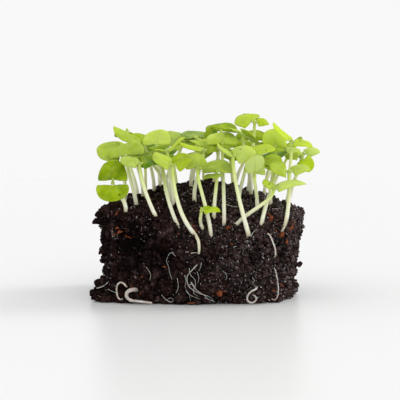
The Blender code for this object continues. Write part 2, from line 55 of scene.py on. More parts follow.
PLANT_SLOT, SOIL_SLOT, ROOT_SLOT = "seedling_green", "potting_soil", "root_white"

# Soil block: the same form as the solid's
SOIL_TOP_HALF = Vector((38.6, 35.2))
SOIL_FOOT_HALF = Vector((35.6, 33.4))
SOIL_ROUNDING = 0.68
SHOULDER_HEIGHT = 33.0
SHOULDER_DROP = 2.6
MOUND = dict(height=9.6, centre=(-1.0, 6.0), reach=(29.0, 23.0))
DISH = dict(depth=11.0, middle=8.0, reach=17.0, start=-22.0, end=-33.0)
CORNER_DIP = dict(depth=3.6, centre=(30.0, -31.0), reach=6.5)
CORNER_RISE = dict(height=2.4, centre=(-36.0, -26.0), reach=7.5)
FOOT_SPREAD = dict(out=8.0, height=9.0, middle=-25.0, reach=10.0)
LUMP_SIZE, LUMP_RELIEF = 11.0, 1.7
CRUMB_SIZE, CRUMB_RELIEF = 5.0, 1.6
CHUNKS = [
    ((-37.5, -16.0, 29.5), 2.6, 1.2),
    ((-37.0, -14.0, 16.0), 2.4, 0.5),
    ((37.5, -18.0, 25.0), 2.4, 1.4),
    ((36.0, -12.0, 12.0), 2.6, 0.5),
    ((12.0, 34.0, 22.0), 2.8, 2.0),
]

# Fine soil: clods and grains (size, height), hollows (centre, reach, depth) and a worn rim
SOIL_DIVISIONS = 128
GRAINS = ((4.8, 1.7), (2.4, 1.0), (1.3, 0.5))
RIM_WEAR = 0.8
# Each hollow also paints the soil, its crumbs and its clods darker, as painted shade.
HOLLOWS = [
    ((-25.0, -31.0, 21.0), 6.5, 2.6),
    ((-14.0, -33.5, 17.0), 4.0, 1.8),
    ((5.0, -34.5, 18.5), 2.4, 3.0),
    ((10.8, -34.5, 21.8), 2.2, 2.2),
    ((29.6, -30.0, 20.0), 3.8, 3.2),
    ((31.0, -29.0, 15.5), 2.6, 2.2),
    ((20.3, -33.0, 16.2), 2.2, 2.4),
    ((26.0, -31.0, 28.5), 2.4, 1.8),
    ((10.5, -35.0, 1.0), 4.5, 2.4),
    ((-33.0, 8.0, 14.0), 5.0, 2.4),
    ((20.0, 33.0, 16.0), 5.0, 2.6),
    ((37.0, 14.0, 18.0), 5.0, 2.2),
    ((-14.0, 34.0, 24.0), 4.0, 2.4),
]

# Seedlings
SEED = 41
STEM_FOOT_RADIUS = 0.74
STEM_NECK_RADIUS = 0.55
STEM_POINTS = 5
STEM_PULL, HEAD_PULL = 1.1, 0.7
BURIED, BURIED_INWARD = 4.5, 0.35
CROWN_RADIUS = 0.88
CROWN_HEIGHT = 0.75
LEAF_THICKNESS = 0.6
LEAF_NEAR = 0.24
LEAF_NEAR_ROUNDING, LEAF_FAR_ROUNDING = 0.16, 0.46
LEAF_NOTCH = 0.07
LEAF_WAVE = 0.35
TRIES = 90
NUDGE_PACE, NUDGE_LIMIT = 40.0, 1.6
NUDGE_HEAD = (2.4, 3.6, 3.0)
NUDGE_TURN, NUDGE_STRAY, NUDGE_PITCH, NUDGE_ROLL, NUDGE_SHRINK = 34.0, 8.0, 22.0, 24.0, 0.12
GRID_PITCH = 11.2
FOOT_SPACING = 5.2

Leaf = namedtuple("Leaf", "azimuth pitch roll width length cup droop stalk taper")
Plant = namedtuple("Plant", "name foot lean head girth leaves tail")


def leaf(azimuth, pitch, roll=0.0, width=10.4, length=7.4, cup=-0.5, droop=0.6,
         stalk=1.0, taper=0.0):
    """Describe a seed leaf: where it points, its turn about its length, and its size."""
    return Leaf(azimuth, pitch, roll, width, length, cup, droop, stalk, taper)


def plant(name, foot, lean, head, first, second, girth=1.0, tail=()):
    """Describe a seedling by its foot on the soil, its lean there and where its pair sits."""
    return Plant(name, foot, lean, head, girth, (first, second), tail)


# The seedlings of the front, each set one by one. Azimuth 0 is to the right, -90 to the front.
FRONT_PLANTS = [
    plant("nodding", (-26.3, -29.4), (0.1, -0.1), (-30.7, -31.5, 42.7),
          leaf(-90, -66, 2, 11.6, 6.4, -0.3, 0.2, 0.6),
          leaf(92, 68, 0, 9.2, 8.2, -0.3, 0.4, 0.7, -0.2)),
    plant("left_wing", (-28.0, -13.0), (0.1, 0.0), (-28.8, -13.0, 53.6),
          leaf(185, 8, -46, 10.6, 8.8, -0.5, 0.6, 0.8), leaf(-10, -18, 10, 6.0, 4.4)),
    plant("left_point", (-21.5, -5.5), (0.0, 0.0), (-27.7, -5.0, 60.9),
          leaf(-96, -42, -33, 12.2, 6.0, -0.3, 0.2, 0.8), leaf(118, -14, 10, 7.2, 5.4)),
    plant("left_bright", (-15.8, -30.8), (-0.5, 0.1), (-21.3, -29.5, 49.2),
          leaf(180, 18, -22, 9.0, 6.4, -0.3, 0.4, 0.7), leaf(6, 20, 30, 8.2, 5.4, -0.3, 0.4, 0.7)),
    plant("front_reach", (-1.6, -32.4), (-0.95, 0.1), (-9.6, -30.0, 48.4),
          leaf(176, 36, -24, 9.8, 7.6, -0.5, 0.5, 0.7), leaf(6, 34, 34, 9.4, 6.6, -0.5, 0.5, 0.7),
          girth=1.12, tail=((-0.6, -35.3, 22.6), (-0.3, -35.8, 19.8), (-0.5, -33.0, 17.0))),
    plant("pale_flag", (-11.0, -15.0), (-0.1, 0.0), (-16.4, -13.0, 55.7),
          leaf(84, 46, 0, 10.4, 8.4, -0.2, 0.2, 0.7), leaf(-62, -8, 6, 8.6, 5.6, -0.3, 0.4, 0.7)),
    plant("left_peek", (-17.6, 0.5), (0.0, 0.0), (-20.6, 0.0, 57.3),
          leaf(168, 30, -30, 8.6, 5.8), leaf(-40, 0, 10, 7.0, 4.6)),
    plant("edge_on", (-9.6, -22.0), (-0.1, 0.0), (-11.7, -24.0, 53.8),
          leaf(-4, 42, 17, 6.6, 7.4, 0.2, 0.1, 0.7), leaf(150, 12, 0, 5.0, 4.6, -0.3, 0.4, 0.7)),
    plant("olive_left", (-13.5, 4.0), (0.1, 0.0), (-6.9, 2.0, 57.3),
          leaf(170, 28, -34, 10.4, 7.4), leaf(8, 20, 30, 9.6, 6.8)),
    plant("gold_wing", (-2.0, -19.0), (-0.1, 0.0), (1.4, -17.0, 54.2),
          leaf(176, 16, -16, 7.0, 8.6, 0.2, 0.2, 0.7), leaf(0, 6, 20, 5.6, 4.4)),
    plant("front_pair", (3.8, -29.8), (-0.1, 0.0), (-0.9, -30.0, 47.4),
          leaf(112, 52, -14, 8.2, 6.6, -0.4, 0.4, 0.7), leaf(-6, 26, 8, 5.8, 6.4, 0.2, 0.2, 0.7)),
    plant("green_fan", (5.0, -26.0), (0.0, 0.0), (6.1, -25.5, 45.8),
          leaf(88, 42, 0, 10.4, 7.4, -0.6, 0.5, 0.6), leaf(-130, -14, 0, 7.2, 5.2, -0.3, 0.4, 0.6)),
    plant("broad_fan", (8.6, -27.0), (0.0, 0.0), (8.2, -14.0, 56.1),
          leaf(92, 42, 2, 11.8, 7.6, -0.7, 0.5, 0.6), leaf(-60, -4, 0, 6.6, 5.0, -0.3, 0.4, 0.7)),
    plant("dark_roof", (5.5, 4.0), (0.1, 0.0), (8.1, 4.0, 61.3),
          leaf(86, 31, 0, 12.2, 8.0, -0.9, 0.6, 0.7), leaf(188, -30, -50, 9.6, 7.4, -0.4, 0.4, 0.7)),
    plant("front_tall", (17.0, -30.8), (-0.3, -0.1), (11.7, -28.5, 51.8),
          leaf(8, 20, 40, 8.6, 7.8, -0.5, 0.6, 0.6), leaf(184, 40, -12, 8.0, 7.0, 0.3, 0.2, 0.6),
          girth=1.15),
    plant("spoon", (20.6, -23.5), (0.0, 0.0), (19.3, -29.5, 45.4),
          leaf(-88, 64, 30, 9.4, 7.2, 0.5, 0.2, 0.9, 0.55), leaf(86, 46, 10, 8.0, 5.4, 0.2, 0.2, 0.9)),
    plant("level_arm", (14.0, -18.0), (0.1, 0.0), (17.3, -23.0, 53.4),
          leaf(2, 14, 25, 8.6, 9.3, -0.5, 0.7, 0.7), leaf(150, 10, -20, 6.0, 4.6)),
    plant("upright_right", (25.8, -16.0), (0.0, 0.0), (28.0, -10.0, 54.8),
          leaf(95, 62, 6, 9.4, 8.0, -0.4, 0.2, 0.8), leaf(-100, -6, 0, 7.4, 4.6)),
    plant("yellow_blade", (32.6, -15.0), (0.0, 0.0), (33.6, -16.0, 57.4),
          leaf(174, 45, -14, 8.2, 9.0, 0.3, 0.0, 0.7), leaf(-6, -8, 18, 8.2, 7.2, -0.4, 0.5, 0.7)),
    plant("crown", (18.6, 2.0), (0.1, 0.0), (20.8, -1.0, 65.2),
          leaf(141, 15, -32, 10.2, 7.8, -0.6, 0.3, 0.8), leaf(10, 0, 27, 7.0, 4.9, -0.4, 0.3, 0.8)),
    plant("sidling", (13.6, -27.6), (0.9, -0.1), (26.2, -31.0, 40.4),
          leaf(4, 24, 16, 7.4, 10.8, -0.5, 2.6, 0.7), leaf(160, 44, -20, 5.4, 4.3, -0.3, 0.3, 0.7)),
    plant("right_corner", (30.6, -28.0), (0.2, 0.0), (31.9, -24.5, 46.4),
          leaf(4, 16, 20, 8.8, 6.8), leaf(192, 22, -40, 8.4, 6.8)),
    plant("droop_right", (33.4, -6.0), (0.1, 0.0), (37.6, -10.0, 51.9),
          leaf(-14, -50, 50, 6.8, 5.4), leaf(170, 10, -26, 6.8, 5.2)),
    plant("right_back", (33.5, 3.0), (0.2, 0.0), (39.6, 2.0, 53.1),
          leaf(2, 16, 22, 8.4, 5.8), leaf(178, 20, -20, 8.4, 6.0)),
    plant("bent_right", (22.0, -28.6), (0.2, 0.3), (27.2, -20.0, 47.3),
          leaf(100, 56, 0, 7.6, 6.2, -0.4, 0.4, 0.7), leaf(180, 22, -12, 6.6, 5.4, 0.1, 0.2, 0.7)),
    plant("late_riser", (0.7, -29.0), (-0.45, 0.0), (0.6, -33.8, 33.1),
          leaf(-6, 6, 24, 4.6, 5.6, -0.2, 0.6, 1.0), leaf(30, 30, 0, 3.2, 2.6, -0.1, 0.2, 0.8),
          girth=0.9),
    plant("shaded_left", (-16.0, 10.0), (0.1, 0.0), (-17.0, 12.0, 53.5),
          leaf(150, 14, -10), leaf(-36, 4, 10)),
    plant("left_stay", (-23.0, -22.0), (-0.1, 0.0), (-26.8, -20.5, 51.6),
          leaf(86, 45, -10, 13.2, 7.4, -0.4, 0.3, 0.7), leaf(4, 3, 6, 7.0, 7.6, -0.3, 0.4, 0.8)),
    plant("middle_stay", (-8.4, -31.0), (-0.42, 0.2), (-14.0, -20.5, 49.6),
          leaf(200, 8, -10, 6.4, 4.6), leaf(24, 30, 25, 8.0, 6.6)),
    plant("deep_green", (14.0, 9.0), (0.0, 0.0), (20.4, 9.0, 57.8),
          leaf(90, 34, 0, 12.6, 8.2), leaf(-158, -2, -20, 9.0, 7.4)),
]

# The rest of the bed, grown by a rule
BED_HALF = (31.0, 29.0)
BED_FRONT = -20.0
BED_JITTER = 2.2
BED_LEAN = 0.3
HEAD_HEIGHT = 52.6
HEAD_RISE = dict(height=4.5, middle=8.0, reach=30.0)
HEAD_SPREAD = 3.0
HEAD_DRIFT = 3.5
HEAD_FAN = 1.1
BED_TILT = {0: 16.0, 180: -24.0}

# Roots that loop out of the front face: points as (x, distance out of the face, height)
ROOTS = {
    "root_loop": (0.48, 0.40, [
        (-26.0, -3.4, 5.2), (-26.2, 0.2, 6.2), (-27.0, 0.9, 7.2), (-28.2, 1.1, 7.5),
        (-29.2, 1.2, 6.6), (-29.5, 1.2, 5.0), (-29.4, 1.2, 3.6), (-29.0, 1.2, 2.2),
        (-28.2, 0.9, 1.4), (-27.4, -2.2, 1.5)]),
    "root_curl_left": (0.80, 0.34, [
        (-22.4, -2.8, 4.6), (-24.0, 0.9, 5.0), (-25.3, 1.6, 4.5), (-25.9, 1.9, 3.4),
        (-25.5, 2.1, 2.2), (-24.2, 2.2, 1.4), (-22.2, 2.1, 1.2), (-19.4, 1.9, 0.9),
        (-16.8, 1.7, 0.6)]),
    "root_curl_right": (0.42, 0.34, [
        (20.6, -2.8, 6.2), (19.6, 0.9, 5.4), (18.0, 1.5, 4.7), (16.8, 1.7, 3.3),
        (16.6, 1.8, 1.8), (17.6, 1.8, 0.8), (19.0, 1.7, 0.9), (19.8, 1.5, 2.0),
        (19.2, 1.0, 3.0), (18.2, -2.0, 3.1)]),
    "root_strand": (0.44, 0.34, [
        (23.6, -3.0, 25.0), (24.6, 0.3, 24.2), (25.7, 0.9, 21.6), (26.5, 1.0, 19.2),
        (26.6, 0.3, 17.2), (26.4, -2.6, 16.2)]),
    "root_thread": (0.40, 0.30, [
        (26.4, -2.8, 12.4), (26.8, 0.4, 11.2), (27.4, 0.8, 8.0), (27.7, 0.9, 5.0),
        (27.4, 0.8, 2.4), (26.4, 0.2, 1.2), (25.6, -2.2, 1.3)]),
}

# Fine plants
STEM_RINGS = 34
STALK_RINGS = 12
STALK_REACH = 0.62
BLADE_COLUMNS, BLADE_ROWS = 26, 18
BLADE_MIDDLE, BLADE_RIM = 0.46, 0.14
VEINS = [(0.0, 1.0), (0.42, 0.8), (-0.42, 0.8)]
VEIN_DEPTH = 0.07
BLADE_WALL, BLADE_STEP = 0.1, 0.01
BLADE_RIPPLE = 0.10
UNDER_PALER = dict(tone=0.06, painted_sheen=0.10)
MATCH_LIMIT = 0.45
# Per leaf, two values for each of its pair: a tone that is partly the leaf's own green and partly
# painted light and shade for how it is lit, and a painted pale sheen.
LEAF_TONES = {
    "nodding": ((0.33, 0.03), (0.18, 0.0)), "left_wing": ((0.42, 0.30), (0.30, 0.20)),
    "left_point": ((0.53, 0.22), (0.40, 0.10)), "left_bright": ((0.40, 0.36), (0.06, 0.05)),
    "front_reach": ((0.57, 0.27), (0.46, 0.10)), "pale_flag": ((0.86, 0.45), (0.10, 0.0)),
    "left_peek": ((0.30, 0.05), (0.15, 0.05)), "edge_on": ((0.80, 0.15), (0.50, 0.10)),
    "olive_left": ((0.32, 0.40), (0.25, 0.20)), "gold_wing": ((0.70, 0.05), (0.25, 0.05)),
    "front_pair": ((0.62, 0.30), (0.60, 0.20)), "green_fan": ((0.64, 0.42), (0.30, 0.20)),
    "broad_fan": ((0.76, 0.38), (0.20, 0.05)), "dark_roof": ((0.28, 0.0), (0.12, 0.0)),
    "front_tall": ((0.76, 0.50), (0.60, 0.40)), "spoon": ((0.75, 1.0), (0.55, 0.60)),
    "level_arm": ((0.71, 0.15), (0.40, 0.10)), "upright_right": ((1.05, 0.28), (0.50, 0.15)),
    "yellow_blade": ((1.0, 0.0), (0.72, 0.10)), "crown": ((0.67, 0.22), (0.55, 0.02)),
    "sidling": ((0.87, 0.70), (0.60, 0.20)), "right_corner": ((0.62, 0.40), (0.45, 0.20)),
    "droop_right": ((0.75, 0.0), (0.45, 0.10)), "right_back": ((0.70, 0.60), (0.60, 0.45)),
    "bent_right": ((0.64, 0.20), (0.60, 0.15)), "late_riser": ((0.75, 0.05), (0.50, 0.05)),
    "shaded_left": ((0.10, 0.05), (0.05, 0.0)), "left_stay": ((0.42, 0.27), (0.10, 0.0)),
    "middle_stay": ((0.15, 0.05), (0.10, 0.05)), "deep_green": ((0.32, 0.0), (0.30, 0.0)),
}

# Loose crumbs, bark and threads on the block, and pale lumps painted as glints
CRUMB_COUNT = 8600
CLOD_COUNT = 2250
GLINT_COUNT = 6800
BATCH = 130
TOP_SHARE = 0.36
FAR, HIGH = 90.0, 80.0
FLOOR_GAP = 0.02
ROOT_GAP = 0.5
CRUMB_TONE, HOLLOW_SHADE = 0.47, 0.75
CHIP_DEPTH, CHIP_PROUD = 0.45, 0.95
HEAP_CRUMBS = 11
ROOT_HAIRS = 7
CRUMB_SEED, CLOD_SEED, GLINT_SEED, BARK_SEED = 42, 43, 44, 45
SIDE_CHUNKS = [
    ((-40.0, -16.5, 30.2), (2.3, 1.3, 1.2)), ((-38.2, -15.0, 31.6), (1.6, 1.4, 1.3)),
    ((-37.4, -14.0, 16.0), (0.9, 0.7, 0.5)), ((-37.0, -15.0, 12.4), (1.1, 1.0, 0.9)),
    ((-38.4, -22.0, 8.4), (1.6, 1.3, 1.1)), ((-37.0, -20.0, 10.0), (1.2, 1.1, 0.9)),
    ((-39.0, -26.0, 3.4), (1.3, 1.2, 1.2)), ((38.4, -18.0, 26.4), (1.5, 1.3, 1.3)),
    ((37.2, -13.0, 12.4), (1.1, 1.0, 0.9)), ((36.2, -16.0, 5.4), (1.2, 1.0, 1.0)),
]
BARK_SPOTS = [
    (-31.6, 26.0, 1.6, 3), (-28.4, 25.0, 1.6, 4), (-26.4, 24.4, 1.4, 2), (-31.0, 33.0, 0.8, 2),
    (24.4, 30.9, 1.0, 3), (28.3, 24.8, 0.8, 3), (31.8, 27.0, 1.1, 6), (33.0, 25.6, 0.8, 3),
    (6.6, 4.3, 0.9, 4), (-1.6, 26.2, 0.5, 2), (11.0, 26.8, 1.4, 4), (-12.0, 13.6, 0.8, 2),
]
WILD_BARK = 60
BARK_CHIPS = [
    (33.4, 27.8, 2.1, 0.8, 80), (32.4, 26.2, 1.3, 0.6, 50), (29.2, 24.3, 1.2, 0.9, 60),
    (25.4, 30.2, 0.9, 0.7, 90), (6.8, 3.9, 1.3, 1.1, 100), (10.2, 26.8, 1.3, 0.7, 20),
    (-1.7, 25.8, 0.8, 0.4, 70), (-28.6, 25.0, 1.2, 0.35, 25), (-30.6, 24.0, 0.9, 0.3, 40),
    (-29.4, 32.0, 1.1, 0.3, 60), (31.0, 21.6, 0.9, 0.4, 75), (-3.2, 0.6, 1.4, 0.25, 8),
]
SPECKS = [
    ("crown", 0, -0.55, 0.75), ("level_arm", 0, -0.5, 0.5), ("nodding", 0, 0.45, 0.55),
    ("bent_right", 1, 0.2, 0.3), ("sidling", 0, 0.3, -0.6), ("sidling", 1, 0.1, 0.2),
    ("yellow_blade", 1, 0.2, 0.1), ("left_wing", 1, 0.3, 0.4), ("front_tall", 0, 0.5, 0.2),
]
THREADS = {
    "front": [
        (0.16, [(-1.0, 14.3), (-3.4, 11.6), (-4.5, 9.8), (-4.2, 7.1), (-2.4, 5.2), (0.0, 3.9),
                (1.3, 3.5), (3.3, 2.7), (4.9, 1.0)]),
        (0.14, [(-3.7, 12.9), (-3.4, 10.6), (-1.8, 8.7), (-1.6, 6.5), (-2.4, 5.5)]),
        (0.19, [(-3.1, 7.9), (-2.2, 6.3), (-0.9, 4.9), (1.0, 3.6), (2.6, 2.4)]),
        (0.10, [(-3.9, 6.9), (-2.7, 7.3), (-1.9, 6.3), (-2.3, 4.3), (-0.7, 2.9)]),
        (0.12, [(0.5, 14.9), (0.2, 13.4), (-0.4, 12.0)]),
        (0.11, [(-5.0, 5.0), (-3.4, 3.3), (0.0, 2.0)]),
        (0.09, [(-5.4, 10.4), (-4.9, 8.2), (-5.2, 6.2), (-3.9, 3.6), (-3.4, 1.4)]),
        (0.12, [(1.6, 2.4), (3.4, 1.6), (5.2, 0.8)]),
        (0.16, [(-3.2, 18.2), (-1.8, 18.4), (-0.2, 18.2)]),
        (0.13, [(-11.2, 17.0), (-10.2, 18.2), (-9.0, 17.6), (-8.4, 17.0)]),
        (0.10, [(-11.4, 16.6), (-11.8, 15.2), (-11.2, 13.6), (-10.6, 11.2), (-9.8, 9.0)]),
        (0.19, [(-37.2, 4.6), (-35.6, 5.2), (-34.2, 5.9), (-32.8, 7.2)]),
        (0.10, [(-33.0, 4.6), (-31.0, 3.8), (-29.0, 3.2)]),
        (0.13, [(-13.6, 3.2), (-12.0, 1.6), (-10.2, 0.7), (-9.4, 1.4), (-10.4, 2.2), (-12.2, 1.2)]),
        (0.14, [(17.6, 23.0), (18.6, 25.0), (20.2, 26.4)]),
        (0.10, [(18.4, 9.4), (19.2, 8.0), (18.4, 7.0), (19.6, 6.2), (19.4, 5.4)]),
        (0.10, [(-8.0, 9.4), (-7.6, 6.4), (-8.4, 4.0)]),
        (0.10, [(-1.0, 11.6), (-0.4, 9.4), (-0.8, 7.6)]),
        (0.09, [(8.0, 12.0), (9.4, 10.4), (9.0, 8.6)]),
        (0.09, [(-19.0, 13.0), (-17.4, 10.6), (-17.8, 8.4)]),
    ],
    "top": [
        (0.20, [(26.4, -18.0), (28.4, -17.2), (30.8, -18.4)]),
        (0.14, [(9.6, -21.0), (12.0, -23.0), (15.2, -22.4)]),
        (0.14, [(-4.0, -12.0), (-1.0, -13.4), (2.0, -12.6)]),
    ],
}
WILD_THREADS = 30
ROOT_SLIM = {"root_loop": 0.66, "root_curl_right": 0.78, "root_strand": 0.66, "root_thread": 0.5}

# Camera and light
CAMERA_PLACE = Vector((0.0, -0.383, 0.05075))
CAMERA_PITCH = 2.29
CAMERA_LENS, CAMERA_SENSOR = 90.0, 36.0
ROOM_LIGHT = 0.945
SUNS = [("window_right", (-0.75, -0.30, -0.60), 0.9, 25.0),
        ("front_fill", (-0.30, 0.90, -0.50), 0.4, 30.0)]

# Colours: from dark to pale along each ramp
# The darkest leaf stop is painted shade, for the leaves deep in the bed.
LEAF_STOPS = [(0.0, (0.085, 0.195, 0.005)), (0.10, (0.175, 0.262, 0.003)),
              (0.5, (0.345, 0.470, 0.010)), (1.0, (0.500, 0.660, 0.020))]
# The first colour below is the pale one of the leaves' painted sheen.
LEAF_PAINTED_SHEEN, LEAF_EDGE = (0.545, 0.640, 0.270), (0.46, 0.56, 0.05)
STEM_STOPS = [(0.0, (0.72, 0.66, 0.48)), (0.10, (0.88, 0.87, 0.68)),
              (0.45, (0.84, 0.88, 0.54)), (0.80, (0.68, 0.79, 0.26)), (1.0, (0.50, 0.66, 0.10))]
# The dark end of the soil's ramp is the painted shade of its clefts and hollows.
SOIL_STOPS = [(0.0, (0.0026, 0.0013, 0.0013)), (0.35, (0.0090, 0.0046, 0.0045)),
              (0.65, (0.0250, 0.0136, 0.0128)), (1.0, (0.0700, 0.0420, 0.0380))]
SOIL_WARM = (0.034, 0.014, 0.009)


def smoothstep(value):
    value = min(1.0, max(0.0, value))
    return value * value * (3.0 - 2.0 * value)


def bell(offset, reach):
    return math.exp(-((offset / reach) ** 2))


def soil_height(x, y):
    """Height of the soil's top over a point of the plan, before its crumbs."""
    mound = MOUND["height"]
    mound *= bell(x - MOUND["centre"][0], MOUND["reach"][0])
    mound *= bell(y - MOUND["centre"][1], MOUND["reach"][1])
    forward = smoothstep((y - DISH["start"]) / (DISH["end"] - DISH["start"]))
    dish = DISH["depth"] * bell(x - DISH["middle"], DISH["reach"]) * forward
    away = math.hypot(x - CORNER_DIP["centre"][0], y - CORNER_DIP["centre"][1])
    dip = CORNER_DIP["depth"] * bell(away, CORNER_DIP["reach"])
    away = math.hypot(x - CORNER_RISE["centre"][0], y - CORNER_RISE["centre"][1])
    dip -= CORNER_RISE["height"] * bell(away, CORNER_RISE["reach"])
    rim = max(abs(x) / SOIL_TOP_HALF.x, abs(y) / SOIL_TOP_HALF.y)
    return SHOULDER_HEIGHT + mound - dish - dip - SHOULDER_DROP * min(1.0, rim) ** 8


def soil_point(u, v, w):
    """Place one point of a unit cube's surface on the soil block."""
    level = (w + 1.0) / 2.0
    half = SOIL_FOOT_HALF.lerp(SOIL_TOP_HALF, level)
    x = half.x * u * math.sqrt(1.0 - SOIL_ROUNDING * v * v / 2.0)
    y = half.y * v * math.sqrt(1.0 - SOIL_ROUNDING * u * u / 2.0)
    z = level * soil_height(x, y)
    near_foot = max(0.0, 1.0 - (z / FOOT_SPREAD["height"]) ** 2)
    spread = FOOT_SPREAD["out"] * near_foot * bell(y - FOOT_SPREAD["middle"], FOOT_SPREAD["reach"])
    return Vector((x - spread * max(0.0, -u) ** 6, y, z))


def face_y(x, z):
    """How far forward the block's front face is at a height, before its crumbs."""
    half = SOIL_FOOT_HALF.lerp(SOIL_TOP_HALF, z / SHOULDER_HEIGHT)
    return -half.y * math.sqrt(1.0 - SOIL_ROUNDING * (x / half.x) ** 2 / 2.0)


def worn_point(u, v, w):
    """A point of the block with the rim of its top worn round."""
    point = soil_point(u, v, w)
    level = (w + 1.0) / 2.0
    wear = RIM_WEAR * smoothstep((level - 0.8) / 0.2) * max(abs(u), abs(v)) ** 8
    point.x *= 1.0 - wear / SOIL_TOP_HALF.x
    point.y *= 1.0 - wear / SOIL_TOP_HALF.y
    point.z -= wear * level
    return point


def grain_relief(point):
    """Clods and grains of three sizes: each is a rounded cell with a cleft all round it."""
    relief = 0.0
    strayed = point + noise.noise_vector(point / 3.4) * 1.3
    for number, (size, height) in enumerate(GRAINS):
        near = noise.voronoi(strayed / size + Vector((3.1, 7.7, 1.3)) * (number + 1))[0]
        relief += height * (math.sqrt(min(1.0, (near[1] - near[0]) / 0.5)) - 0.75)
    return relief


def crumble(point, outward):
    """Push a point in or out by lumps, chunks, hollows and grains; tell how proud it is, with the
    hollows counted low for the soil's painted shade.
    """
    relief = LUMP_RELIEF * noise.noise(point / LUMP_SIZE)
    relief += CRUMB_RELIEF * noise.noise(point / CRUMB_SIZE + Vector((7.0, 3.0, 5.0)))
    for centre, reach, out in CHUNKS:
        relief += out * bell((point - Vector(centre)).length, reach)
    grains = grain_relief(point)
    for centre, reach, depth in HOLLOWS:
        hollow = bell((point - Vector(centre)).length, reach)
        relief -= depth * hollow
        # Painted shade: the hollows count as low grains, pushed in further and painted darker.
        grains -= 1.9 * hollow
    return point + outward * (relief + grains), grains


def hermite(start, start_pull, end, end_pull, t):
    """A point of the curve from start to end, which leaves and arrives along its pulls."""
    square = t * t
    cube = square * t
    return (start * (2 * cube - 3 * square + 1) + start_pull * (cube - 2 * square + t)
            + end * (3 * square - 2 * cube) + end_pull * (cube - square))


def stem_line(spec, steps):
    """The stem's line from its buried end, out of its foot and up to its pair of leaves."""
    foot = Vector((*spec.foot, soil_height(*spec.foot)))
    head = Vector(spec.head)
    lean = Vector((*spec.lean, 1.0)).normalized()
    rise = (head - foot).length
    pull = lean * rise * STEM_PULL
    top = Vector((0.0, 0.0, rise * HEAD_PULL))
    above = [hermite(foot, pull, head, top, step / steps) for step in range(steps + 1)]
    if spec.tail:
        return [Vector(point) for point in reversed(spec.tail)] + above
    inward = Vector((-foot.x, -foot.y, 0.0)).normalized() * BURIED * BURIED_INWARD
    return [foot - lean * BURIED + inward] + above


def leaf_axes(spec):
    """The directions along a leaf, across it, and out of its upper face."""
    azimuth, pitch, roll = (math.radians(spec[i]) for i in range(3))
    along = Vector((math.cos(pitch) * math.cos(azimuth),
                    math.cos(pitch) * math.sin(azimuth), math.sin(pitch)))
    side = Vector((-math.sin(azimuth), math.cos(azimuth), 0.0))
    face = along.cross(side)
    across = side * math.cos(roll) + face * math.sin(roll)
    return along, across, along.cross(across)


def blade_place(spec, u, v):
    """Where a point of a unit square is on a half-moon blade: across, down it and lifted."""
    rounding = LEAF_FAR_ROUNDING if v > 0 else LEAF_NEAR_ROUNDING
    x = u * math.sqrt(1.0 - rounding * v * v)
    y = v * math.sqrt(1.0 - rounding * u * u)
    reach = y * (1.0 - LEAF_NEAR) if y > 0 else y * LEAF_NEAR
    notch = LEAF_NOTCH * max(0.0, 1.0 - 2.0 * abs(u)) * max(0.0, -v)
    down = LEAF_NEAR + reach + notch
    rim = x * x + y * y
    lift = spec.cup * (rim - 1.0) - spec.droop * down * down
    wave = math.sin(3.0 * math.atan2(y, x) + math.radians(spec.azimuth))
    lift += LEAF_WAVE * wave * rim * (1.0 + y) / 2.0
    return x, down, lift, rim


def leaf_point(spec, axes, head, u, v):
    along, across, face = axes
    x, down, lift, _ = blade_place(spec, u, v)
    half = spec.width / 2.0 * (1.0 - spec.taper * (1.0 - down) ** 2)
    return (Vector(head) + along * (spec.stalk + down * spec.length)
            + across * (x * half) + face * lift)


def nudged(spec, index, attempt):
    """The seedling as set, or from the second try on, turned and shifted a little more."""
    if attempt == 0:
        return spec
    draw = random.Random(SEED * 10000 + index * 100 + attempt)
    give = min(NUDGE_LIMIT, attempt / NUDGE_PACE)
    head = tuple(spec.head[i] + draw.uniform(-1, 1) * give * NUDGE_HEAD[i] for i in range(3))
    turn = draw.uniform(-1, 1) * NUDGE_TURN * give
    leaves = tuple(
        blade._replace(azimuth=blade.azimuth + turn + draw.uniform(-1, 1) * NUDGE_STRAY * give,
                       pitch=blade.pitch + draw.uniform(-1, 1) * NUDGE_PITCH * give,
                       roll=blade.roll + draw.uniform(-1, 1) * NUDGE_ROLL * give,
                       width=blade.width * (1.0 - NUDGE_SHRINK * give * draw.random()),
                       length=blade.length * (1.0 - NUDGE_SHRINK * give * draw.random()))
        for blade in spec.leaves)
    return spec._replace(head=head, leaves=leaves)


